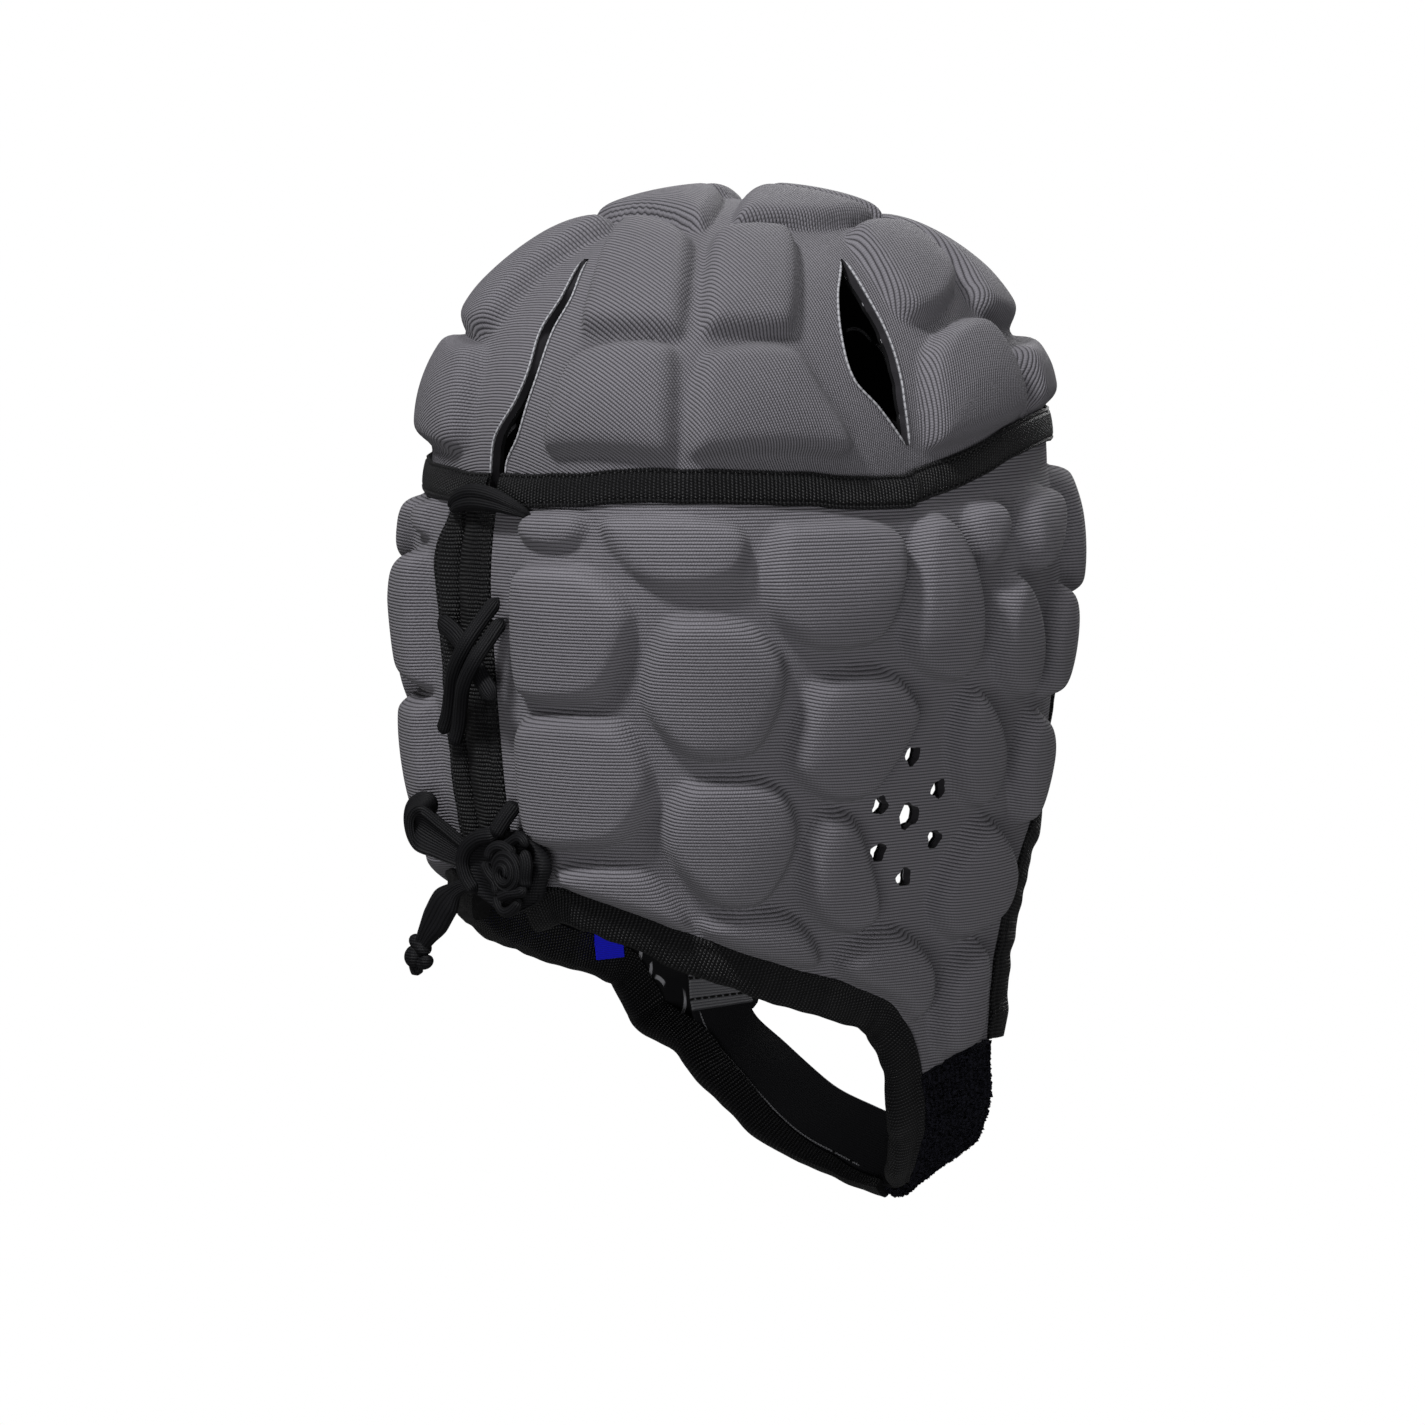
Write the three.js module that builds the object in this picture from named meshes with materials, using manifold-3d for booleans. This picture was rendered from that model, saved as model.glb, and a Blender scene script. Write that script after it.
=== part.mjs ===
// Padded scrum cap held open in its worn shape. Millimetres, +z up, back at +y, the wearer's right
// at -x. z = 0 is the inside top of the crown, on the head's centre line.
import * as THREE from "three";
import { mergeVertices } from "three/addons/utils/BufferGeometryUtils.js";
import Module from "manifold-3d";

const wasm = await Module();
wasm.setup();

// Driving sizes
const bandHalfWidth = 77.5; // knit at the tape, centre to side
const bandReach = 93; // knit at the tape, centre to front or back
const bandDrop = 76; // tape below the inside top
const crownRise = 80; // outside of the knit above the tape, at the top
const skirtDepth = 180; // tape to the tips of the ear tabs
const bandLift = 13; // how far the tape climbs towards the forehead
const bandDip = 3; // how far it sags at the back and over the ears
const tapeWidth = 9;
const tapeWall = 1.6;
const shellWall = 3;
const liningWall = 1;
const bindingWidth = 10;
const bindingWall = 5.2;
const gap = 0.3;
const crownPadRise = 7;
const sidePadRise = 8.5;
const crownFoot = -1.6; // underside of the pads, within the wall
const sideFoot = -2.1;
const gutter = 1.8; // half the flat valley between two pads
const roundness = 2.4; // power of the oval sections
const slitWidth = 18;
const slitHeight = 53;
const holeSpread = 18;
const holeRadius = 2.8;
const seam = 0.45; // each side of the joint between crown and side panels, under the tape
const cordRadius = 2.6;
const laceBack = 98.5; // knit at the lacing, centre to back
const laceTop = -84.4;
const strapWidth = 26;
const strapWall = 2.4;
const strapTop = -253.4; // ear tab tips
const strapDrop = 40; // tab tips to the lowest run of the strap
const quarter = Math.PI / 2;

// Skirt sections, down from the tape, as shares of the sizes above
const skirtSections = [
  { down: 0.0, wide: 1.0, back: 1.0, front: 1.0 },
  { down: 0.08, wide: 1.052, back: 1.038, front: 1.027 },
  { down: 0.16, wide: 1.077, back: 1.059, front: 1.032 },
  { down: 0.245, wide: 1.065, back: 1.059, front: 1.032 },
  { down: 0.385, wide: 1.013, back: 1.048, front: 1.022 },
  { down: 0.495, wide: 0.961, back: 1.032, front: 1.022 },
  { down: 0.58, wide: 0.923, back: 1.011, front: 1.022 },
  { down: 0.69, wide: 0.871, back: 0.968, front: 1.022 },
  { down: 0.8, wide: 0.832, back: 0.935, front: 1.011 },
  { down: 1.0, wide: 0.787, back: 0.9, front: 0.985 },
];

// Side panel: where each fold line leaves the tape and where it meets the free edge
const panelColumns = [
  { top: 0.0, low: 0.0, down: 0.675 },
  { top: 0.05, low: 0.055, down: 0.655 },
  { top: 0.1, low: 0.11, down: 0.667 },
  { top: 0.15, low: 0.17, down: 0.695 },
  { top: 0.205, low: 0.238, down: 0.735 },
  { top: 0.26, low: 0.31, down: 0.772 },
  { top: 0.32, low: 0.385, down: 0.808 },
  { top: 0.385, low: 0.45, down: 0.836 },
  { top: 0.437, low: 0.494, down: 0.867 },
  { top: 0.48, low: 0.524, down: 0.93 },
  { top: 0.515, low: 0.55, down: 0.985 },
  { top: 0.56, low: 0.61, down: 0.977 },
  { top: 0.605, low: 0.668, down: 0.967 },
  { top: 0.642, low: 0.673, down: 0.867 },
  { top: 0.677, low: 0.68, down: 0.756 },
  { top: 0.713, low: 0.703, down: 0.667 },
  { top: 0.75, low: 0.738, down: 0.583 },
  { top: 0.79, low: 0.77, down: 0.483 },
  { top: 0.828, low: 0.797, down: 0.389 },
  { top: 0.868, low: 0.835, down: 0.29 },
  { top: 0.93, low: 0.9, down: 0.243 },
  { top: 1.0, low: 1.0, down: 0.233 },
];
const tabRear = 10; // panelColumns rows at the ear tab's two corners
const tabFront = 12;

// Pads of a side panel: place along the panel, place down it, half size in millimetres
const sidePads = [
  { along: 0.078, down: 0.067, reach: 8, rise: 0.7 },
  { along: 0.206, down: 0.103, reach: 15, rise: 0.85 },
  { along: 0.372, down: 0.16, reach: 20, rise: 1 },
  { along: 0.508, down: 0.188, reach: 20, rise: 1 },
  { along: 0.572, down: 0.082, reach: 12, rise: 0.85 },
  { along: 0.652, down: 0.075, reach: 17, rise: 1 },
  { along: 0.78, down: 0.095, reach: 20, rise: 1 },
  { along: 0.92, down: 0.085, reach: 20, rise: 1 },
  { along: 0.105, down: 0.232, reach: 20, rise: 1 },
  { along: 0.247, down: 0.312, reach: 21, rise: 1 },
  { along: 0.412, down: 0.398, reach: 21, rise: 1 },
  { along: 0.615, down: 0.252, reach: 18, rise: 1 },
  { along: 0.729, down: 0.275, reach: 17, rise: 1 },
  { along: 0.113, down: 0.462, reach: 21, rise: 1 },
  { along: 0.277, down: 0.555, reach: 21, rise: 1 },
  { along: 0.4, down: 0.62, reach: 18, rise: 1 },
  { along: 0.588, down: 0.434, reach: 17, rise: 1 },
  { along: 0.705, down: 0.48, reach: 19, rise: 1 },
  { along: 0.155, down: 0.655, reach: 17, rise: 0.8 },
  { along: 0.321, down: 0.735, reach: 16, rise: 0.8 },
  { along: 0.465, down: 0.785, reach: 18, rise: 0.9 },
  { along: 0.594, down: 0.655, reach: 22, rise: 1 },
  { along: 0.603, down: 0.865, reach: 19, rise: 0.9 },
  { along: 0.495, down: 0.545, reach: 19, rise: 0 },
];

// Pads of the crown: angle round from the back, arc from the top as a share of the rise
const crownPads = [];
for (const side of [-1, 1]) {
  for (const column of [27, 63, 117, 153]) {
    crownPads.push({ around: side * column, arc: 0.53, reach: 19, rise: 1 });
    crownPads.push({ around: side * (column < 90 ? column + 2 : column - 2), arc: 0.835, reach: 19, rise: 1 });
  }
  crownPads.push({ around: side * 90, arc: 0.2, reach: 17, rise: 1 });
}
crownPads.push({ around: 0, arc: 0.2, reach: 17, rise: 1 }, { around: 180, arc: 0.2, reach: 17, rise: 1 });

// Lips of the four slits, across and down, as shares of slitWidth and slitHeight
const slitLips = [
  { down: 0.0, rear: 0.17, front: 0.12 },
  { down: 0.2, rear: 0.72, front: 0.12 },
  { down: 0.43, rear: 1.0, front: 0.04 },
  { down: 0.64, rear: 0.98, front: 0.03 },
  { down: 0.79, rear: 0.6, front: 0.05 },
  { down: 1.0, rear: 0.12, front: 0.04 },
];
const backLips = [
  { down: 0.0, rear: 0.12, front: -0.02 },
  { down: 0.2, rear: 0.58, front: 0.33 },
  { down: 0.38, rear: 0.66, front: 0.36 },
  { down: 0.59, rear: 0.75, front: 0.5 },
  { down: 0.76, rear: 0.72, front: 0.4 },
  { down: 0.95, rear: 0.62, front: 0.05 },
  { down: 1.1, rear: 0.4, front: 0.0 },
  { down: 1.4, rear: 0.4, front: 0.0 },
];
const slitTop = -13;

const earHoles = [
  { aft: 0, up: 0, wide: 1.35 },
  { aft: 0.1, up: 1, wide: 1 },
  { aft: -0.58, up: 0.4, wide: 1 },
  { aft: 0.64, up: 0.22, wide: 1 },
  { aft: -0.64, up: -0.44, wide: 1 },
  { aft: 0.55, up: -0.56, wide: 1 },
  { aft: -0.08, up: -1.03, wide: 1 },
];
const earHoleZ = -174;
const earHoleY = -3.5;

// The strap's loop from the right ear tab to the inside of the left one: sideways as a share of
// bandHalfWidth, ahead as a share of bandReach, drop as a share of strapDrop, roll in degrees
const strapLoop = [
  { side: -0.748, ahead: 0.355, drop: 0.0, roll: 7, wide: 1.12 },
  { side: -0.7, ahead: 0.4, drop: 0.32, roll: 6, wide: 1.06 },
  { side: -0.594, ahead: 0.43, drop: 0.66, roll: 10, wide: 1.0 },
  { side: -0.439, ahead: 0.484, drop: 0.85, roll: 30, wide: 0.98 },
  { side: -0.258, ahead: 0.505, drop: 0.85, roll: 48, wide: 0.94 },
  { side: -0.05, ahead: 0.473, drop: 0.75, roll: 53, wide: 0.88 },
  { side: 0.155, ahead: 0.42, drop: 0.6, roll: 50, wide: 0.86 },
  { side: 0.426, ahead: 0.366, drop: 0.25, roll: 26, wide: 0.88 },
  { side: 0.57, ahead: 0.335, drop: 0.03, roll: 18, wide: 0.86 },
  { side: 0.655, ahead: 0.335, drop: -0.2, roll: 12, wide: 0.86 },
  { side: 0.69, ahead: 0.34, drop: -0.45, roll: 6, wide: 0.86 },
];

// Where the bound edges of the lacing meet, millimetres to the wearer's left of the centre back
const laceMeet = [
  { down: 0.0, left: 9.4 },
  { down: 0.2, left: 8.0 },
  { down: 0.55, left: 8.2 },
  { down: 0.75, left: 6.6 },
  { down: 1.0, left: 3.6 },
];

// Lace runs, millimetres: left of centre, behind laceBack, above z = 0
const laceRuns = {
  lace_over_upper: [
    { left: -15.5, behind: 3.6, up: -108.5 },
    { left: -12.5, behind: 7.5, up: -115 },
    { left: -9.5, behind: 11.1, up: -122 },
    { left: -4, behind: 10.9, up: -129 },
    { left: 2.5, behind: 7.5, up: -136.5 },
    { left: 7, behind: 5.4, up: -144 },
    { left: 10.5, behind: 5.0, up: -149.8 },
  ],
  lace_over_lower: [
    { left: -17.6, behind: 3.6, up: -114.4 },
    { left: -16.8, behind: 7.5, up: -119.4 },
    { left: -14.3, behind: 11.1, up: -125.8 },
    { left: -8.7, behind: 10.9, up: -132.8 },
    { left: -2.3, behind: 7.5, up: -140.2 },
    { left: 1.7, behind: 5.4, up: -146.8 },
    { left: 4.9, behind: 5.0, up: -152.8 },
  ],
  lace_under: [
    { left: 12, behind: 5, up: -116.5 },
    { left: 4, behind: 5, up: -120 },
    { left: -1, behind: 5, up: -123.2 },
    { left: -7, behind: 5, up: -127 },
    { left: -12.4, behind: 4.8, up: -131 },
    { left: -17.2, behind: 3.9, up: -135 },
  ],
  lace_stub: [
    { left: -17.4, behind: -1.2, up: -167.5 },
    { left: -15.6, behind: 1.3, up: -171.5 },
    { left: -12.5, behind: 3.7, up: -177.5 },
  ],
};

const clamp = (v, lo, hi) => Math.min(Math.max(v, lo), hi);
const vec = (x, y, z) => new THREE.Vector3(x, y, z);

// Smooth curve through the named column of a table
function through(rows, at, key, value) {
  let i = 0;
  while (i < rows.length - 2 && value > rows[i + 1][at]) i++;
  const [a, b] = [rows[i], rows[i + 1]];
  const before = rows[Math.max(i - 1, 0)];
  const after = rows[Math.min(i + 2, rows.length - 1)];
  const span = b[at] - a[at];
  const s = clamp((value - a[at]) / span, 0, 1);
  const ma = ((b[key] - before[key]) / (b[at] - before[at])) * span;
  const mb = ((after[key] - a[key]) / (after[at] - a[at])) * span;
  return (2 * s ** 3 - 3 * s ** 2 + 1) * a[key] + (s ** 3 - 2 * s ** 2 + s) * ma + (3 * s ** 2 - 2 * s ** 3) * b[key] + (s ** 3 - s ** 2) * mb;
}

const oval = (v) => Math.sign(v) * Math.abs(v) ** (2 / roundness);

function section(z) {
  if (z >= -bandDrop) {
    const k = Math.sqrt(Math.max(0, 1 - clamp((z + bandDrop) / crownRise, 0, 1) ** 2.15));
    return { wide: bandHalfWidth * k, back: bandReach * k, front: bandReach * k };
  }
  const down = (-bandDrop - z) / skirtDepth;
  const at = (key) => through(skirtSections, "down", key, down);
  return { wide: bandHalfWidth * at("wide"), back: bandReach * at("back"), front: bandReach * at("front") };
}

function ring(turn, z) {
  const s = section(z);
  const c = Math.cos(turn);
  return vec(-s.wide * oval(Math.sin(turn)), (c > 0 ? s.back : s.front) * oval(c), z);
}

// Girth measured round the widest section, so that equal shares are equal lengths of cloth
const girthTable = [];
{
  let run = 0;
  let last = ring(0, -bandDrop - 44);
  for (let i = 0; i <= 720; i++) {
    const turn = (i / 720) * Math.PI;
    const p = ring(turn, -bandDrop - 44);
    run += p.distanceTo(last);
    last = p;
    girthTable.push({ turn, run });
  }
}
const halfGirth = girthTable[girthTable.length - 1].run;

function turnOf(share) {
  const s = Math.abs(share) * halfGirth;
  let [lo, hi] = [0, 720];
  while (hi - lo > 1) {
    const mid = (lo + hi) >> 1;
    if (girthTable[mid].run < s) lo = mid;
    else hi = mid;
  }
  const [a, b] = [girthTable[lo], girthTable[hi]];
  return Math.sign(share || 1) * (a.turn + ((b.turn - a.turn) * (s - a.run)) / (b.run - a.run));
}

function shareOf(degrees) {
  const turn = (Math.abs(degrees) * Math.PI) / 180;
  const i = clamp(Math.floor((turn / Math.PI) * 720), 0, 719);
  const [a, b] = [girthTable[i], girthTable[i + 1]];
  return (Math.sign(degrees) * (a.run + ((b.run - a.run) * (turn - a.turn)) / (b.turn - a.turn))) / halfGirth;
}

// Point at a share of the half girth and a height, moved out along the wall's normal
function wall(share, z, out = 0) {
  const p = ring(turnOf(share), z);
  const across = ring(turnOf(share + 0.003), z).sub(ring(turnOf(share - 0.003), z));
  const up = ring(turnOf(share), z + 0.6).sub(ring(turnOf(share), z - 0.6));
  const n = across.cross(up).normalize();
  if (n.x * p.x + n.y * p.y < 0) n.negate();
  return { p: p.addScaledVector(n, out), n };
}

const arcZ = (arc) => (arc <= 1 ? -bandDrop + crownRise * Math.cos(arc * quarter) : -bandDrop - (arc - 1) * 126);
const arcOf = (z) => (z > -bandDrop ? Math.acos((z + bandDrop) / crownRise) / quarter : 1 + (-bandDrop - z) / 126);

function dome(a, b, out = 0) {
  const at = (u, v) => ring(turnOf(Math.atan2(v, u) / Math.PI), arcZ(Math.hypot(u, v)));
  const p = at(a, b);
  const n = at(a + 0.004, b).sub(at(a - 0.004, b)).cross(at(a, b + 0.004).sub(at(a, b - 0.004))).normalize();
  if (n.x * p.x + n.y * p.y + n.z * (p.z + 120) < 0) n.negate();
  return { p: p.addScaledVector(n, out), n };
}

function bandZ(share) {
  const turn = Math.abs(turnOf(share));
  const climb = clamp((turn - 1.54) / 0.82, 0, 1);
  return -bandDrop + bandLift * (1 - (1 - climb) ** 2) - bandDip * Math.cos(2 * turn) ** 2 * (1 - climb);
}

// Rear edge of a panel, millimetres from the centre back; the lacing sits left of centre
const rearEdge = (side, down) => (side > 0 ? 5 + 12 * down : 20 - 6 * down);

function panelShare(side, along, down) {
  const from = rearEdge(side, down) / halfGirth;
  return side * (from + along * (1 - 0.0006 - from));
}

const panelZ = (down) => -bandDrop - down * skirtDepth;

// A place on a side panel: u along its columns, v from the tape to the free edge
function panelPoint(side, u, v, out) {
  const at = clamp(u, 0, 1) * (panelColumns.length - 1);
  const i = Math.min(Math.floor(at), panelColumns.length - 2);
  const mix = (key) => panelColumns[i][key] + (panelColumns[i + 1][key] - panelColumns[i][key]) * (at - i);
  const low = mix("down");
  const along = mix("top") + (mix("low") - mix("top")) * v ** 1.2;
  const down = low * v;
  const share = panelShare(side, along, down);
  const topZ = bandZ(share) - seam;
  const z = topZ + (panelZ(low) - topZ) * v;
  return wall(share, z, out);
}

// Closed solid from quads and triangles of shared points
function solid(points, faces) {
  const g = new THREE.BufferGeometry();
  g.setAttribute("position", new THREE.BufferAttribute(new Float32Array(points.flatMap((p) => [p.x, p.y, p.z])), 3));
  const index = [];
  for (const f of faces) for (let i = 1; i < f.length - 1; i++) index.push(f[0], f[i], f[i + 1]);
  let volume = 0;
  for (let i = 0; i < index.length; i += 3) {
    const [a, b, c] = [points[index[i]], points[index[i + 1]], points[index[i + 2]]];
    volume += a.dot(b.clone().cross(c));
  }
  if (volume < 0) for (let i = 0; i < index.length; i += 3) [index[i + 1], index[i + 2]] = [index[i + 2], index[i + 1]];
  g.setIndex(index);
  return g;
}

// Sheet with two faces: at(i, j, layer) for i in 0..columns, j in 0..rows
function slab(columns, rows, at) {
  const points = [];
  const id = (i, j, k) => (k * (rows + 1) + j) * (columns + 1) + i;
  for (let k = 0; k < 2; k++) for (let j = 0; j <= rows; j++) for (let i = 0; i <= columns; i++) points.push(at(i, j, k));
  const faces = [];
  for (let j = 0; j < rows; j++) {
    for (let i = 0; i < columns; i++) {
      faces.push([id(i, j, 0), id(i + 1, j, 0), id(i + 1, j + 1, 0), id(i, j + 1, 0)]);
      faces.push([id(i, j, 1), id(i, j + 1, 1), id(i + 1, j + 1, 1), id(i + 1, j, 1)]);
    }
  }
  for (let i = 0; i < columns; i++) {
    faces.push([id(i + 1, 0, 0), id(i, 0, 0), id(i, 0, 1), id(i + 1, 0, 1)]);
    faces.push([id(i, rows, 0), id(i + 1, rows, 0), id(i + 1, rows, 1), id(i, rows, 1)]);
  }
  for (let j = 0; j < rows; j++) {
    faces.push([id(0, j, 0), id(0, j + 1, 0), id(0, j + 1, 1), id(0, j, 1)]);
    faces.push([id(columns, j + 1, 0), id(columns, j, 0), id(columns, j, 1), id(columns, j + 1, 1)]);
  }
  return solid(points, faces);
}

// Dome with two faces and an open rim
function cap(columns, rows, at) {
  const points = [];
  const faces = [];
  const id = (i, j, k) => k * (1 + rows * columns) + (j === 0 ? 0 : 1 + (j - 1) * columns + (i % columns));
  for (let k = 0; k < 2; k++) {
    points.push(at(0, 0, k));
    for (let j = 1; j <= rows; j++) for (let i = 0; i < columns; i++) points.push(at(i, j, k));
  }
  for (let i = 0; i < columns; i++) {
    faces.push([id(0, 0, 0), id(i, 1, 0), id(i + 1, 1, 0)]);
    faces.push([id(0, 0, 1), id(i + 1, 1, 1), id(i, 1, 1)]);
    for (let j = 1; j < rows; j++) {
      faces.push([id(i, j, 0), id(i, j + 1, 0), id(i + 1, j + 1, 0), id(i + 1, j, 0)]);
      faces.push([id(i, j, 1), id(i + 1, j, 1), id(i + 1, j + 1, 1), id(i, j + 1, 1)]);
    }
    faces.push([id(i, rows, 0), id(i, rows, 1), id(i + 1, rows, 1), id(i + 1, rows, 0)]);
  }
  return solid(points, faces);
}

// Rings of equal length joined end to end, closed with a face at each end
function sweep(rings) {
  const n = rings[0].length;
  const faces = [rings[0].map((_, i) => i), rings[0].map((_, i) => (rings.length - 1) * n + n - 1 - i)];
  for (let j = 0; j < rings.length - 1; j++) {
    for (let i = 0; i < n; i++) {
      const k = (i + 1) % n;
      faces.push([j * n + k, j * n + i, (j + 1) * n + i, (j + 1) * n + k]);
    }
  }
  return solid(rings.flat(), faces);
}

function manifold(geometry) {
  const bare = geometry.clone();
  for (const name of Object.keys(bare.attributes)) if (name !== "position") bare.deleteAttribute(name);
  const g = mergeVertices(bare, 1e-4);
  return new wasm.Manifold(
    new wasm.Mesh({ numProp: 3, vertProperties: new Float32Array(g.attributes.position.array), triVerts: new Uint32Array(g.index.array) })
  );
}

function geometryOf(body) {
  const m = body.getMesh();
  const g = new THREE.BufferGeometry();
  g.setAttribute("position", new THREE.BufferAttribute(new Float32Array(m.vertProperties), 3));
  g.setIndex([...m.triVerts]);
  g.computeVertexNormals();
  return g;
}

// Clear distance from p to the border of pad i: half way to its neighbours, less near the fences
function room(p, i, pads, fences) {
  const near = [];
  const own = p.distanceToSquared(pads[i].seat) - pads[i].reach ** 2;
  pads.forEach((other, j) => {
    if (j !== i) near.push((p.distanceToSquared(other.seat) - other.reach ** 2 - own) / (2 * other.seat.distanceTo(pads[i].seat)));
  });
  for (const fence of fences) {
    let best = Infinity;
    for (const q of fence.points) best = Math.min(best, p.distanceTo(q));
    near.push(best - fence.margin + gutter);
  }
  const least = Math.min(...near);
  return least - 1.6 * Math.log(near.reduce((sum, d) => sum + Math.exp((least - d) / 1.6), 0));
}

// Domed pad: sunk foot, shoulder, shallow peak
function padSolid(i, pads, fences, rise, foot, at, step) {
  const corners = pads[i].reach < 14 ? 6 : 8;
  const radii = [];
  for (let k = 0; k < corners; k++) {
    const angle = ((k + 0.5) / corners) * 2 * Math.PI;
    let [lo, hi] = [0, 4];
    while (hi < 60 && room(at(step(i, angle, hi)).p, i, pads, fences) > gutter) {
      lo = hi;
      hi += 3;
    }
    for (let n = 0; n < 7; n++) {
      const mid = (lo + hi) / 2;
      if (room(at(step(i, angle, mid)).p, i, pads, fences) > gutter) lo = mid;
      else hi = mid;
    }
    radii.push({ angle, radius: lo });
  }
  const levels = [
    { inset: -0.3, out: foot },
    { inset: 3.2, out: 0.84 * rise },
  ];
  const rings = levels.map((level) =>
    radii.map(({ angle, radius }) => at(step(i, angle, Math.max(radius - level.inset, radius * 0.35)), level.out).p)
  );
  const n = corners;
  rings.push(radii.map(({ angle, radius }) => at(step(i, angle, radius * 0.5), foot).p));
  const points = [...rings.flat(), at(step(i, 0, 0), foot).p, at(step(i, 0, 0), rise).p];
  const faces = [];
  for (let k = 0; k < n; k++) {
    const m = (k + 1) % n;
    faces.push([3 * n, 2 * n + m, 2 * n + k], [2 * n + k, 2 * n + m, m, k], [k, m, n + m, n + k], [3 * n + 1, n + k, n + m]);
  }
  return solid(points, faces);
}

// Prism through the wall between two lips; face turns the outline towards its side of the head
function slitCutter(lips, turn, mirror) {
  const rear = lips.map((r) => new THREE.Vector2(mirror * r.rear * slitWidth, slitTop - r.down * slitHeight));
  const front = lips.map((r) => new THREE.Vector2(mirror * r.front * slitWidth, slitTop - r.down * slitHeight));
  const outline = [...rear, ...front.reverse()];
  if (THREE.ShapeUtils.area(outline) < 0) outline.reverse();
  const g = new THREE.ExtrudeGeometry(new THREE.Shape(outline), { depth: 100, bevelEnabled: false });
  g.rotateX(quarter); // outline upright, depth towards -y
  g.translate(0, -20, 0);
  g.rotateZ(turn);
  return g;
}

const slits = [
  { lips: slitLips, turn: -quarter, mirror: -1 },
  { lips: slitLips, turn: quarter, mirror: 1 },
  { lips: slitLips, turn: 0, mirror: 1 },
  { lips: backLips, turn: Math.PI, mirror: 1 },
];

// Samples of a slit's outline on the crown, which keep the pads clear of it
function slitFence({ lips, turn, mirror }) {
  const points = [];
  for (let k = 0; k <= 16; k++) {
    const down = (k / 16) * Math.min(lips[lips.length - 1].down, 1.1);
    const z = slitTop - down * slitHeight;
    for (const key of ["rear", "front"]) {
      const across = vec(mirror * through(lips, "down", key, down) * slitWidth, 0, 0).applyAxisAngle(vec(0, 0, 1), turn);
      const s = section(z);
      const away = vec(0, -1, 0).applyAxisAngle(vec(0, 0, 1), turn);
      const reach = Math.abs(away.y) > 0.5 ? (away.y > 0 ? s.back : s.front) : s.wide;
      points.push(across.addScaledVector(away, reach).setZ(z));
    }
  }
  return { points, margin: 7 };
}

function material(color, roughness) {
  return new THREE.MeshStandardMaterial({ color, roughness, metalness: 0 });
}

const knit = [0x66636a, 0.85];
const black = [0x17171a, 0.9];
const cap3d = new THREE.Group();

function piece(name, geometry, [color, roughness]) {
  const mesh = new THREE.Mesh(geometry, material(color, roughness));
  mesh.name = name;
  cap3d.add(mesh);
}

// Crown and its lining
const crownColumns = 24;
const crownRows = 7;

function domeAt(i, j, out) {
  const share = (2 * i) / crownColumns;
  const signed = share > 1 ? share - 2 : share;
  const rim = arcOf(bandZ(signed) + seam);
  const arc = rim * (j / crownRows) ** 0.93;
  return dome(arc * Math.cos(signed * Math.PI), arc * Math.sin(signed * Math.PI), out).p;
}

const crownFences = slits.map(slitFence);
crownFences.push({ points: Array.from({ length: 121 }, (_, k) => wall(k / 60 - 1, bandZ(k / 60 - 1)).p), margin: 7.5 });
for (const pad of crownPads) {
  const angle = shareOf(pad.around) * Math.PI;
  pad.chart = [pad.arc * Math.cos(angle), pad.arc * Math.sin(angle)];
  pad.seat = dome(...pad.chart).p;
}

function crownStep(i, angle, length) {
  const [a, b] = crownPads[i].chart;
  return [a + (Math.cos(angle) * length) / 122, b + (Math.sin(angle) * length) / 122];
}

let crown = manifold(cap(crownColumns, crownRows, (i, j, k) => domeAt(i, j, k ? -shellWall : 0)));
crownPads.forEach((pad, i) => {
  crown = crown.add(manifold(padSolid(i, crownPads, crownFences, crownPadRise * pad.rise, crownFoot, (c, out) => dome(c[0], c[1], out), crownStep)));
});
let crownLining = manifold(cap(crownColumns, crownRows, (i, j, k) => domeAt(i, j, k ? -shellWall - gap - liningWall : -shellWall - gap)));
for (const slit of slits) {
  const cutter = manifold(slitCutter(slit.lips, slit.turn, slit.mirror));
  crown = crown.subtract(cutter);
  crownLining = crownLining.subtract(cutter);
}
piece("crown", geometryOf(crown), knit);
piece("crown_lining", geometryOf(crownLining), black);

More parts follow.
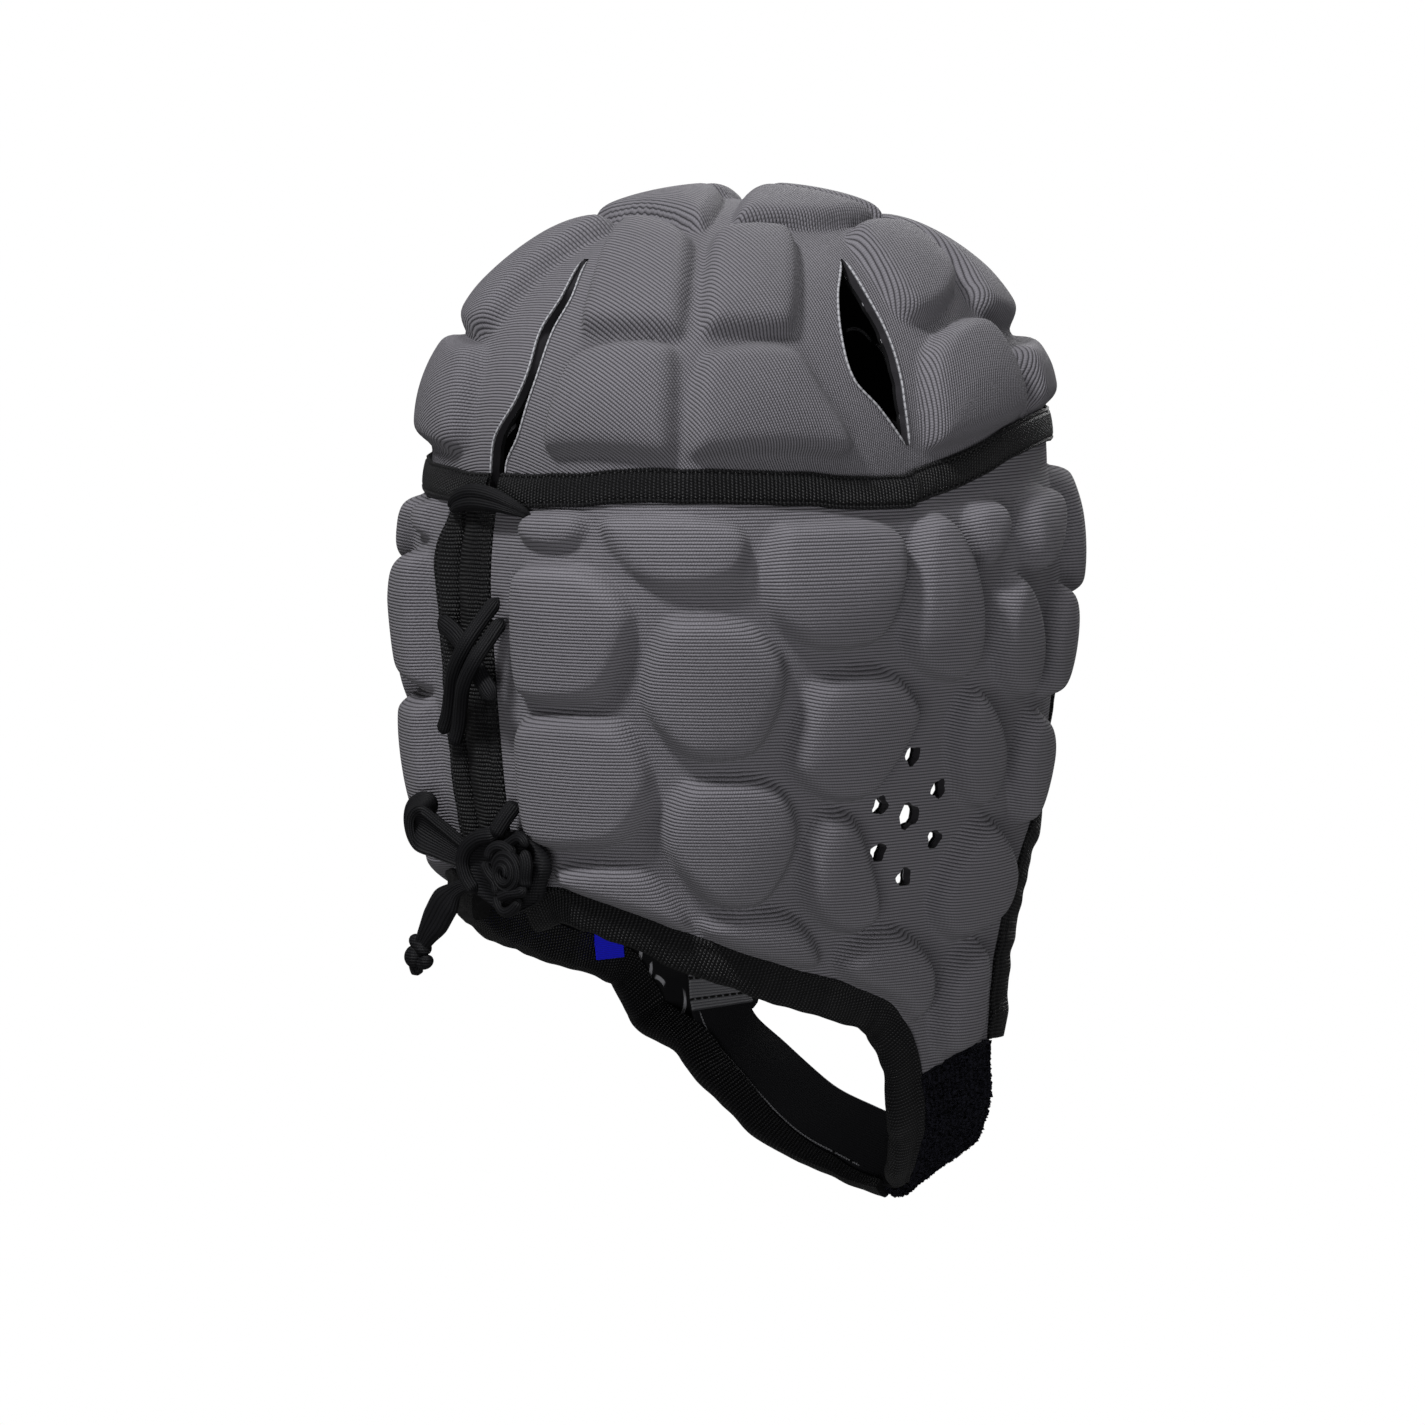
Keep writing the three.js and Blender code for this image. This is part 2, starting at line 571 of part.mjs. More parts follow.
// Side panels, their linings and the holes over the ears
const panelRows = 5;
const panelCount = panelColumns.length - 1;
for (const side of [1, -1]) {
  const suffix = side > 0 ? "right" : "left";
  const fence = (from, to, v, margin) => ({
    points: Array.from({ length: 41 }, (_, k) => panelPoint(side, from + ((to - from) * k) / 40, v, 0).p),
    margin,
  });
  const fences = [
    fence(0, 1, 0, 7),
    fence(0, tabRear / panelCount, 1, 3.5),
    fence(tabRear / panelCount, tabFront / panelCount, 1, 4),
    fence(tabFront / panelCount, 1, 1, 5),
    { points: Array.from({ length: 31 }, (_, k) => panelPoint(side, 0, k / 30, 0).p), margin: 10 },
    { points: Array.from({ length: 11 }, (_, k) => panelPoint(side, 1, k / 10, 0).p), margin: 4 },
  ];
  const pads = sidePads.map((pad) => {
    const share = panelShare(side, pad.along, pad.down);
    const z = panelZ(pad.down);
    return { ...pad, share, z, seat: wall(share, z).p };
  });
  const at = (place, out) => wall(place[0], place[1], out);
  const step = (i, angle, length) => [pads[i].share + (Math.cos(angle) * length) / halfGirth, pads[i].z + Math.sin(angle) * length];
  let shell = manifold(slab(panelCount, panelRows, (i, j, k) => panelPoint(side, i / panelCount, j / panelRows, k ? -shellWall : 0).p));
  pads.forEach((pad, i) => {
    if (pad.rise > 0) shell = shell.add(manifold(padSolid(i, pads, fences, sidePadRise * pad.rise, sideFoot, at, step)));
  });
  let lining = manifold(
    slab(panelCount, panelRows, (i, j, k) => panelPoint(side, i / panelCount, j / panelRows, -shellWall - gap - (k ? liningWall : 0)).p)
  );
  for (const hole of earHoles) {
    const g = new THREE.CylinderGeometry(holeRadius * hole.wide, holeRadius * hole.wide, 40, 6);
    g.rotateZ(quarter);
    g.translate(-side * 72, earHoleY + hole.aft * holeSpread, earHoleZ + hole.up * holeSpread);
    const drill = manifold(g);
    shell = shell.subtract(drill);
    lining = lining.subtract(drill);
  }
  piece(`side_panel_${suffix}`, geometryOf(shell), knit);
  piece(`side_lining_${suffix}`, geometryOf(lining), black);
}

// Flat strip through stations { p, w, n }: w across it, n out of it; profile in millimetres
function strip(stations, profile) {
  return sweep(stations.map(({ p, w, n, wide = 1 }) => profile.map(([a, b]) => p.clone().addScaledVector(w, a * wide).addScaledVector(n, b))));
}

function signedShare(s) {
  return s > 1 ? s - 2 : s;
}

// Tape over the joint of crown and side panels, open at the centre back
const bandStations = 40;
const bandRings = [];
for (let k = 0; k <= bandStations; k++) {
  const share = signedShare(0.023 + (1.981 * k) / bandStations);
  const z = bandZ(share);
  const ring3 = (out) => [1, 0, -1].map((e) => wall(share, z + (e * tapeWidth) / 2, out + (e === 0 ? 0.1 : 0.25)).p);
  bandRings.push([...ring3(0.7 + tapeWall), ...ring3(0.7).reverse()]);
}
piece("crown_band", sweep(bandRings), black);

// The strap's loop: middle line, width towards its front edge, outward normal
const strapCurve = new THREE.CatmullRomCurve3(
  strapLoop.map((r) => vec(r.side * bandHalfWidth, -r.ahead * bandReach, strapTop - r.drop * strapDrop)),
  false,
  "centripetal"
);
const strapRows = strapLoop.map((r, i) => ({ ...r, at: i }));
function strapStation(at) {
  const u = at / (strapLoop.length - 1);
  const p = strapCurve.getPoint(u);
  const along = strapCurve.getTangent(u);
  const roll = (through(strapRows, "at", "roll", at) * Math.PI) / 180;
  const w = vec(0, -Math.cos(roll), Math.sin(roll));
  w.addScaledVector(along, -w.dot(along)).normalize();
  const n = w.clone().cross(along).normalize();
  if (n.dot(p.clone().sub(vec(0, -0.36 * bandReach, strapTop + 12))) < 0) n.negate();
  return { p, w, n, wide: through(strapRows, "at", "wide", at) };
}
const strapRun = (from, to, count) => Array.from({ length: count + 1 }, (_, k) => strapStation(from + ((to - from) * k) / count));
const flat = (half, low, high) => [
  [-half, low],
  [-half, high],
  [half, high],
  [half, low],
];
piece("chin_strap_right", strip(strapRun(0, 4.5, 12), flat(strapWidth / 2, 0.4, 0.4 + strapWall)), black);
piece("chin_strap_left", strip(strapRun(2.25, 9.75, 20), flat(0.6 - strapWidth / 2, -1.9, -0.3)), black);
piece("strap_anchor_patch", strip(strapRun(8.625, 9.75, 3), flat(strapWidth / 2 + 0.4, -3.4, -2.2)), [0x3a393e, 0.9]);

// Binding round a panel's free edge: a thick strip butted to shell and lining
function edgeStation(side, u) {
  const mid = panelPoint(side, u, 1, 0);
  const along = panelPoint(side, Math.min(u + 0.004, 1), 1, 0).p.sub(panelPoint(side, Math.max(u - 0.004, 0), 1, 0).p).normalize();
  const w = along.cross(mid.n).normalize();
  if (w.dot(mid.p.clone().sub(panelPoint(side, u, 0.96, 0).p)) < 0) w.negate();
  return { p: mid.p, w, n: mid.n };
}
const hem = [
  [gap, 0.5],
  [gap, 0.5 - bindingWall],
  [bindingWidth * 0.85, 0.5 - bindingWall],
  [bindingWidth, -bindingWall * 0.55],
  [bindingWidth * 0.85, 0.5],
];
// Lower binding leaves the tab's rear corner and narrows as it follows the strap's rear edge
const strapTails = {
  right: [
    { at: 0.7, wide: 1 },
    { at: 1.2, wide: 0.9 },
    { at: 1.75, wide: 0.7 },
    { at: 2.3, wide: 0.5 },
  ],
  left: [
    { at: 2.0, wide: 1 },
    { at: 2.6, wide: 1 },
    { at: 3.2, wide: 0.9 },
    { at: 3.8, wide: 0.7 },
    { at: 4.4, wide: 0.5 },
    { at: 5.0, wide: 0.4 },
    { at: 5.6, wide: 0.32 },
    { at: 6.2, wide: 0.26 },
  ],
};
function strapEdge(side, at, wide) {
  const s = strapStation(side > 0 ? at : strapLoop.length - 1 - at);
  const half = (strapWidth / 2) * s.wide;
  return { p: s.p.clone().addScaledVector(s.w, -half - 1).addScaledVector(s.n, 2.2), w: s.w.clone().negate(), n: s.n, wide };
}
for (const side of [1, -1]) {
  const suffix = side > 0 ? "right" : "left";
  const lower = [];
  for (let k = 0; k <= 13; k++) lower.push(edgeStation(side, ((tabRear - 0.5) / panelCount) * (k / 13)));
  const tail = side > 0 ? strapTails.right : strapTails.left;
  for (const { at, wide } of tail) lower.push(strapEdge(side, at, wide));
  piece(`lower_binding_${suffix}`, strip(lower, hem), black);
  const face = [];
  for (let k = 0; k <= 16; k++) face.push(edgeStation(side, (tabFront + 0.25 + ((panelCount - tabFront - 0.25) * k) / 16) / panelCount));
  face[16].p.x = -side * 0.25;
  for (const key of ["w", "n"]) face[16][key].setX(0).normalize();
  piece(`face_binding_${suffix}`, strip(face, hem), black);
}

// Bound edges of the lacing, puffed a little proud of the knit
const laceDepth = 108;
function laceStrip(side) {
  const rings = [];
  for (let k = 0; k <= 9; k++) {
    const z = laceTop - (k / 9) * laceDepth;
    const outer = -side * (rearEdge(side, (-bandDrop - z) / skirtDepth) - gap - 0.15);
    const inner = through(laceMeet, "down", "left", k / 9) - side * gap;
    const at = (mix, out) => wall(-(outer + (inner - outer) * mix) / halfGirth, z, out).p;
    rings.push([at(0, -4.2), at(0, 0.7), at(0.25, 1.9), at(0.75, 1.9), at(1, 0.7), at(1, -4.2)]);
  }
  return sweep(rings);
}
piece("lace_edge_right", laceStrip(1), black);
piece("lace_edge_left", laceStrip(-1), black);

function circle(radius, sides) {
  return new THREE.Shape(Array.from({ length: sides }, (_, i) => new THREE.Vector2(radius * Math.cos((2 * Math.PI * i) / sides), radius * Math.sin((2 * Math.PI * i) / sides))));
}
const runPoints = (rows) => rows.map((r) => vec(r.left, laceBack + r.behind, r.up));
for (const [name, rows] of Object.entries(laceRuns)) {
  const path = new THREE.CatmullRomCurve3(runPoints(rows), false, "centripetal");
  const steps = rows.length * 2 - 2;
  const g = new THREE.ExtrudeGeometry(circle(cordRadius, 6), { steps, extrudePath: path, bevelEnabled: false });
  piece(name, geometryOf(manifold(g)), black);
}

// Leaf and bow pieces of the tied lace: flat ovals swept along their runs, half sizes in millimetres
const tied = {
  lace_top_bar: [
    { left: 12, behind: 0.1, up: -84.8, across: 1.6, thick: 1.4 },
    { left: 6.5, behind: 1.4, up: -82.2, across: 3.2, thick: 2.6 },
    { left: -1, behind: 1.9, up: -80.6, across: 3.9, thick: 3.1 },
    { left: -9, behind: 1.6, up: -80.9, across: 3.6, thick: 3.0 },
    { left: -16.5, behind: 0.7, up: -82.4, across: 2.6, thick: 2.2 },
    { left: -23, behind: -2.7, up: -85.2, across: 0.9, thick: 0.9 },
  ],
  lace_tail: [
    { left: -0.5, behind: 3.4, up: -192.4, across: 1.9, thick: 1.5 },
    { left: 4.4, behind: 4.7, up: -194.8, across: 2.6, thick: 1.8 },
    { left: 9.3, behind: 5.4, up: -199, across: 3.8, thick: 2.2 },
    { left: 14, behind: 5.4, up: -204.5, across: 3.9, thick: 2.2 },
    { left: 18.8, behind: 5.2, up: -209.6, across: 3.0, thick: 2.0 },
    { left: 21.8, behind: 5.0, up: -213.4, across: 2.4, thick: 2.0 },
    { left: 24, behind: 5.0, up: -216.2, across: 4.2, thick: 3.6 },
    { left: 24.6, behind: 5.0, up: -219.4, across: 3.6, thick: 3.2 },
    { left: 23.4, behind: 5.0, up: -222, across: 1.6, thick: 1.6 },
  ],
};
for (const [name, rows] of Object.entries(tied)) {
  const centres = runPoints(rows);
  const rings = rows.map((r, i) => {
    const along = centres[Math.min(i + 1, rows.length - 1)].clone().sub(centres[Math.max(i - 1, 0)]).normalize();
    const out = vec(-0.3, 0.95, 0);
    out.addScaledVector(along, -out.dot(along)).normalize();
    const across = out.clone().cross(along);
    return Array.from({ length: 8 }, (_, k) => {
      const a = (k / 8) * 2 * Math.PI;
      return centres[i].clone().addScaledVector(across, r.across * Math.cos(a)).addScaledVector(out, r.thick * Math.sin(a));
    });
  });
  piece(name, sweep(rings), black);
}

// Bow: one wide loop of the lace, edge on to the back
const bow = [
  { left: 0.3, behind: 3.3, up: -182, wide: 3.6 },
  { left: 7.5, behind: 8.2, up: -175.4, wide: 8 },
  { left: 12.4, behind: 11.4, up: -171.6, wide: 11 },
  { left: 15.4, behind: 12.4, up: -173.6, wide: 12 },
  { left: 16.4, behind: 12.2, up: -178, wide: 12 },
  { left: 14.8, behind: 11.2, up: -182.4, wide: 11 },
  { left: 9.4, behind: 8.2, up: -184.6, wide: 8 },
  { left: 2.2, behind: 3.2, up: -187.6, wide: 3.6 },
];
const bowPath = runPoints(bow);
const bowAcross = vec(0.84, -0.54, 0);
const bowRings = bow.map((r, i) => {
  const along = bowPath[Math.min(i + 1, bow.length - 1)].clone().sub(bowPath[Math.max(i - 1, 0)]).normalize();
  const w = bowAcross.clone().addScaledVector(along, -bowAcross.dot(along)).normalize();
  const n = w.clone().cross(along);
  const half = r.wide / 2;
  return [
    [-half, -1],
    [half, -1],
    [half, 1],
    [-half, 1],
  ].map(([a, b]) => bowPath[i].clone().addScaledVector(w, a + half).addScaledVector(n, b));
});
piece("lace_bow_loop", sweep(bowRings), black);

// Knot: a flattened round with a gathered ring on it
const knotAt = vec(-11.5, laceBack - 0.95, -187);
const knot = new THREE.SphereGeometry(1, 12, 6);
knot.scale(15, 2.7, 11.8);
knot.rotateZ(0.12);
knot.translate(knotAt.x, knotAt.y, knotAt.z);
piece("lace_knot", geometryOf(manifold(knot)), black);
const rosette = new THREE.TorusGeometry(5, 2.3, 6, 10);
rosette.rotateX(quarter);
rosette.rotateZ(0.12);
rosette.translate(knotAt.x - 3.5, knotAt.y + 4.6, knotAt.z + 0.6);
piece("lace_rosette", geometryOf(manifold(rosette)), black);

// Small label inside the left ear tab
const labelRings = [-0.462, -0.483, -0.504].map((share) =>
  [
    [-215, -4.8],
    [-231, -5.2],
    [-231, -6.0],
    [-215, -5.6],
  ].map(([z, out]) => wall(share, z, out).p)
);
piece("inner_label", sweep(labelRings), [0x1b2a78, 0.7]);

export default cap3d;
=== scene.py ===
import math
from functools import partial

import bmesh
import bpy
import numpy as np
from mathutils import Matrix, Vector
from mathutils.kdtree import KDTree


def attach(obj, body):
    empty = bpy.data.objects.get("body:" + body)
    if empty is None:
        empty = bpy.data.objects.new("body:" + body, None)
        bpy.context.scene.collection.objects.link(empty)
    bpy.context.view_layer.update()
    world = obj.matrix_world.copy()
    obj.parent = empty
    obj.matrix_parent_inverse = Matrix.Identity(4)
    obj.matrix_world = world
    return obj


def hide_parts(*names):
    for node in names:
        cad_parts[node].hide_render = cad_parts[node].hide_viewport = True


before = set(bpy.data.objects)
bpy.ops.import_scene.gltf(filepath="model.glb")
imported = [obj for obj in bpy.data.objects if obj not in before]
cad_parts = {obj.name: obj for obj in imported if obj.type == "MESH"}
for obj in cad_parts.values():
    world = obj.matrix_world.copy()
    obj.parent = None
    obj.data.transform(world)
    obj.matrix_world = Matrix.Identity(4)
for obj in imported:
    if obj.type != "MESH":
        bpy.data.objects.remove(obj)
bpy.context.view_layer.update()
print("frame loaded")

metre = 0.001  # shapes are worked out in millimetres
weld = 1e-6
creaseAngle = math.radians(50)

# Camera at the photograph's angle: behind the cap and to the wearer's right
viewpoint = {"target": (0.0054, 0.0067, -0.1495), "azimuth": 231.0, "elevation": 6.0, "distance": 1.6,
    "lens": 134.6}


def setCamera(settings):
    turn, rise = math.radians(settings["azimuth"]), math.radians(settings["elevation"])
    back = Vector((math.sin(turn) * math.cos(rise), -math.cos(turn) * math.cos(rise), math.sin(rise)))
    data = bpy.data.cameras.new("viewCamera")
    data.lens, data.sensor_width = settings["lens"], 36
    camera = bpy.data.objects.new("viewCamera", data)
    camera.location = Vector(settings["target"]) + back * settings["distance"]
    camera.rotation_euler = (-back).to_track_quat("-Z", "Y").to_euler()
    bpy.context.scene.collection.objects.link(camera)
    bpy.context.scene.camera = camera
    return back


viewBack = setCamera(viewpoint)

def rowsOf(names, *lines):  # a table: one dictionary to each line of values
    return [dict(zip(names.split(), line)) for line in lines]


# Worn shape in millimetres: z = 0 is the inside top, back at +y, the wearer's right at -x
capShape = {"halfWidth": 77.5, "reach": 93.0, "drop": 76.0, "rise": 80.0, "depth": 180.0, "lift": 13.0,
    "dip": 3.0, "roundness": 2.4, "dome": 2.15}
wall = {"shell": 3.0, "lining": 1.0, "gap": 0.3, "seam": 0.45}
skirtRun = 126  # skirt to one unit of arc, past the crown
girthLevel = 44  # below the tape, where the way round is measured
skirtSections = rowsOf(
    "down wide back front",
    (0.0, 1.0, 1.0, 1.0),
    (0.08, 1.052, 1.038, 1.027),
    (0.16, 1.077, 1.059, 1.032),
    (0.245, 1.065, 1.059, 1.032),
    (0.385, 1.013, 1.048, 1.022),
    (0.495, 0.961, 1.032, 1.022),
    (0.58, 0.923, 1.011, 1.022),
    (0.69, 0.871, 0.968, 1.022),
    (0.8, 0.832, 0.935, 1.011),
    (1.0, 0.787, 0.9, 0.985),
)


def through(table, at, key, value):  # smooth curve through one named column
    value = np.asarray(value, float)
    xs, ys = (np.array([row[name] for row in table], float) for name in (at, key))
    i = np.searchsorted(xs[1:-1], value, side="left")
    before, after = np.maximum(i - 1, 0), np.minimum(i + 2, len(xs) - 1)
    span = xs[i + 1] - xs[i]
    s = np.clip((value - xs[i]) / span, 0, 1)
    ma = (ys[i + 1] - ys[before]) / (xs[i + 1] - xs[before]) * span
    mb = (ys[after] - ys[i]) / (xs[after] - xs[i]) * span
    return (2 * s**3 - 3 * s**2 + 1) * ys[i] + (s**3 - 2 * s**2 + s) * ma + (3 * s**2 - 2 * s**3) * ys[i
        + 1] + (s**3 - s**2) * mb


def unit(vectors):
    return vectors / np.maximum(np.linalg.norm(vectors, axis=-1, keepdims=True), 1e-12)


def oval(value):
    return np.sign(value) * np.abs(value) ** (2 / capShape["roundness"])


def section(z):
    k = np.sqrt(np.maximum(0, 1 - np.clip((z + capShape["drop"]) / capShape["rise"], 0, 1) ** capShape["dome"]))
    down = np.clip((-capShape["drop"] - z) / capShape["depth"], 0, 1.2)
    above = z >= -capShape["drop"]
    share = {key: np.where(above, k, through(skirtSections, "down", key, down)) for key in ("wide", "back",
        "front")}
    return capShape["halfWidth"] * share["wide"], capShape["reach"] * share["back"], capShape["reach"] * share[
        "front"]


def ring(turn, z):  # outside of the knit: turn 0 at the back, + towards the wearer's right
    turn, z = np.broadcast_arrays(np.asarray(turn, float), np.asarray(z, float))
    wide, back, front = section(z)
    c = np.cos(turn)
    return np.stack([-wide * oval(np.sin(turn)), np.where(c > 0, back, front) * oval(c), z], -1)


def runs(points):  # distance covered at each point
    return np.concatenate([[0], np.cumsum(np.linalg.norm(np.diff(points, axis=0), axis=1))])


girthTurns = np.linspace(0, math.pi, 721)
girthRuns = runs(ring(girthTurns, -capShape["drop"] - girthLevel))
halfGirth = girthRuns[-1]


def turnOf(share):
    share = (np.asarray(share, float) + 1) % 2 - 1
    return np.sign(share) * np.interp(np.abs(share) * halfGirth, girthRuns, girthTurns)


def onWall(share, z, out=0.0):  # place and normal at a share of the half girth
    share, z = np.broadcast_arrays(np.asarray(share, float), np.asarray(z, float))
    p = ring(turnOf(share), z)
    across = ring(turnOf(share + 0.003), z) - ring(turnOf(share - 0.003), z)
    n = unit(np.cross(across, ring(turnOf(share), z + 0.6) - ring(turnOf(share), z - 0.6)))
    n = np.where((n[..., :2] * p[..., :2]).sum(-1, keepdims=True) < 0, -n, n)
    return p + n * np.asarray(out, float)[..., None], n


def arcZ(arc):
    inside = -capShape["drop"] + capShape["rise"] * np.cos(np.minimum(arc, 1) * math.pi / 2)
    return np.where(arc <= 1, inside, -capShape["drop"] - (arc - 1) * skirtRun)


def arcOf(z):
    inside = np.arccos(np.clip((z + capShape["drop"]) / capShape["rise"], -1, 1)) / (math.pi / 2)
    return np.where(z > -capShape["drop"], inside, 1 + (-capShape["drop"] - z) / skirtRun)


def onDome(a, b, out=0.0):
    def at(u, v):
        return ring(turnOf(np.arctan2(v, u) / math.pi), arcZ(np.hypot(u, v)))

    p = at(a, b)
    n = unit(np.cross(at(a + 0.004, b) - at(a - 0.004, b), at(a, b + 0.004) - at(a, b - 0.004)))
    n = np.where((n * (p + np.array([0, 0, 120.0]))).sum(-1, keepdims=True) < 0, -n, n)
    return p + n * np.asarray(out, float)[..., None], n


def tapeLine(share):  # height of the seam between crown and side panels
    turn = np.abs(turnOf(share))
    climb = np.clip((turn - 1.54) / 0.82, 0, 1)
    return -capShape["drop"] + capShape["lift"] * (1 - (1 - climb) ** 2) - capShape["dip"] * np.cos(2
        * turn) ** 2 * (1 - climb)


# Mesh making: a bmesh grid laid on the shape, then given its thickness
def gridSheet(columns, rows):
    bm = bmesh.new()
    bmesh.ops.create_grid(bm, x_segments=columns, y_segments=rows, size=0.5)
    bm.verts.index_update()
    flat = np.array([vert.co[:2] for vert in bm.verts]) + 0.5
    return bm, flat[:, 0], flat[:, 1]


def layCloth(bm, cloth):
    layer = bm.loops.layers.uv.new("cloth")
    for face in bm.faces:
        for loop in face.loops:
            loop[layer].uv = cloth[loop.vert.index]


def toObject(bm, name):
    for face in bm.faces:
        face.smooth = True
    mesh = bpy.data.meshes.new(name)
    bm.to_mesh(mesh)
    bm.free()
    piece = bpy.data.objects.new(name, mesh)
    bpy.context.scene.collection.objects.link(piece)
    mesh.set_sharp_from_angle(angle=creaseAngle)
    return piece


# Place(u, v) gives outer and inner millimetres and cloth metres
def slab(name, columns, rows, place, joined=False):
    bm, u, v = gridSheet(columns, rows)
    outer, inner, cloth = place(u, v)
    layCloth(bm, cloth)
    number = bm.verts.layers.int.new("number")
    for vert, p in zip(bm.verts, outer * metre):
        vert[number] = vert.index
        vert.co = p
    if joined:
        bmesh.ops.remove_doubles(bm, verts=bm.verts, dist=weld)
    bmesh.ops.recalc_face_normals(bm, faces=bm.faces)
    below = list(bm.verts)
    grown = bmesh.ops.extrude_face_region(bm, geom=list(bm.faces), use_keep_orig=True)
    for vert in grown["geom"]:
        if isinstance(vert, bmesh.types.BMVert):
            vert.co = outer[vert[number]] * metre
    for vert in below:
        vert.co = inner[vert[number]] * metre
    bmesh.ops.recalc_face_normals(bm, faces=bm.faces)
    return toObject(bm, name)


roundEnds = (0.08, 0.45, 0.72, 0.9)


def sweep(name, places, across, outward, profile, ends="flat"):
    # profile: closed loop of (across, outward) millimetres, one for all stations or one each
    stations, sides = len(places), profile.shape[-2]
    profile = np.broadcast_to(profile, (stations, sides, 2)).copy()
    if ends == "round":
        for k, share in enumerate(roundEnds):
            profile[k] *= share
            profile[-1 - k] *= share
    bm, u, v = gridSheet(stations - 1, sides)
    i, j = np.rint(u * (stations - 1)).astype(int), np.rint(v * sides).astype(int)
    offset = profile[i, j % sides]
    points = places[i] + across[i] * offset[:, :1] + outward[i] * offset[:, 1:]
    along = runs(places)
    middle = profile[stations // 2]
    around = runs(np.vstack([middle, middle[:1]]))
    layCloth(bm, np.stack([along[i], around[j]], 1) * metre)
    for vert, p in zip(bm.verts, points * metre):
        vert.co = p
    bmesh.ops.remove_doubles(bm, verts=bm.verts, dist=weld)
    bmesh.ops.holes_fill(bm, edges=[edge for edge in bm.edges if edge.is_boundary], sides=0)
    bmesh.ops.recalc_face_normals(bm, faces=bm.faces)
    return toObject(bm, name)


def oblong(sides, across, outward, power=2.0):  # rounded loop, half sizes in millimetres
    angle = np.arange(sides) / sides * 2 * math.pi
    c, s = np.cos(angle), np.sin(angle)
    return np.stack([across * np.sign(c) * np.abs(c) ** (2 / power),
        outward * np.sign(s) * np.abs(s) ** (2 / power)], 1)


def bend(points, at):  # even-tempered curve through the points, at from 0 to their last number
    points = np.asarray(points, float)
    last = len(points) - 1
    padded = np.vstack([2 * points[0] - points[1], points, 2 * points[-1] - points[-2]])
    out = []
    for value in np.atleast_1d(at):
        k = min(int(value), last - 1)
        s = value - k
        p0, p1, p2, p3 = padded[k : k + 4]
        d0, d1, d2 = (max(np.linalg.norm(b - a), 1e-6) ** 0.5 for a, b in ((p0, p1), (p1, p2), (p2, p3)))
        t1 = ((p1 - p0) / d0 - (p2 - p0) / (d0 + d1) + (p2 - p1) / d1) * d1
        t2 = ((p2 - p1) / d1 - (p3 - p1) / (d1 + d2) + (p3 - p2) / d2) * d1
        out.append(p1 + t1 * s + (3 * (p2 - p1) - 2 * t1 - t2) * s**2 + (2 * (p1 - p2) + t1 + t2) * s**3)
    return np.array(out)


def frames(points, facing, count, curved=True):  # places, across and outward along a run
    at = np.linspace(0, len(points) - 1, count)
    places = bend(points, at) if curved else points
    along = unit(np.gradient(places, axis=0))
    facing = np.broadcast_to(np.asarray(facing, float), places.shape)
    outward = unit(facing - along * (facing * along).sum(1, keepdims=True))
    return places, np.cross(outward, along), outward


def wave(values, pitch, seed=0.0):  # gentle unevenness from a few sines, about -1 to 1
    t = np.asarray(values, float) * (2 * math.pi / pitch) + seed
    return (np.sin(t) + 0.6 * np.sin(t * 1.73 + 1.1 + seed * 3) + 0.4 * np.sin(t * 2.91 + 2.3 - seed)) / 1.6


def cut(piece, cutters):
    for cutter in cutters:
        modifier = piece.modifiers.new("cut", "BOOLEAN")
        modifier.operation, modifier.solver, modifier.object = "DIFFERENCE", "MANIFOLD", cutter
    bpy.context.view_layer.update()
    made = bpy.data.meshes.new_from_object(piece.evaluated_get(bpy.context.evaluated_depsgraph_get()))
    piece.modifiers.clear()
    piece.data = made
    made.set_sharp_from_angle(angle=creaseAngle)


def drop(objects):
    for item in objects:
        bpy.data.objects.remove(item)


def mathNode(tree, operation, first, second=None, third=None):
    node = tree.nodes.new("ShaderNodeMath")
    node.operation = operation
    for socket, value in zip(node.inputs, (first, second, third)):
        if value is None:
            continue
        if isinstance(value, (int, float)):
            socket.default_value = value
        else:
            tree.links.new(value, socket)
    return node.outputs[0]


def hump(calc, value):  # rises and falls once in each whole step
    return calc("ABSOLUTE", calc("SINE", calc("MULTIPLY", value, math.pi)))


def newGroup(name, inputs, outputs):
    tree = bpy.data.node_groups.new(name, "ShaderNodeTree")
    for label, kind, value in inputs:
        socket = tree.interface.new_socket(label, in_out="INPUT", socket_type=kind)
        if value is not None:
            socket.default_value = value
    for label, kind in outputs:
        tree.interface.new_socket(label, in_out="OUTPUT", socket_type=kind)
    return tree, tree.nodes.new("NodeGroupInput").outputs, tree.nodes.new("NodeGroupOutput").inputs


def mixColour(tree, factor, first, second, blend="MIX"):
    node = tree.nodes.new("ShaderNodeMix")
    node.data_type, node.blend_type = "RGBA", blend
    for socket, value in ((node.inputs[0], factor), (node.inputs[6], first), (node.inputs[7], second)):
        if isinstance(value, (int, float)):
            socket.default_value = value
        elif isinstance(value, tuple):
            socket.default_value = (*value, 1)
        else:
            tree.links.new(value, socket)
    return node.outputs[2]


def noiseNode(tree, vector, scale, detail=2.0, roughness=0.5):
    node = tree.nodes.new("ShaderNodeTexNoise")
    node.inputs["Detail"].default_value, node.inputs["Roughness"].default_value = detail, roughness
    node.inputs["Scale"].default_value = scale
    tree.links.new(vector, node.inputs["Vector"])
    return node.outputs[0]


# Shared effects
numberKind, vectorKind, colourKind = "NodeSocketFloat", "NodeSocketVector", "NodeSocketColor"


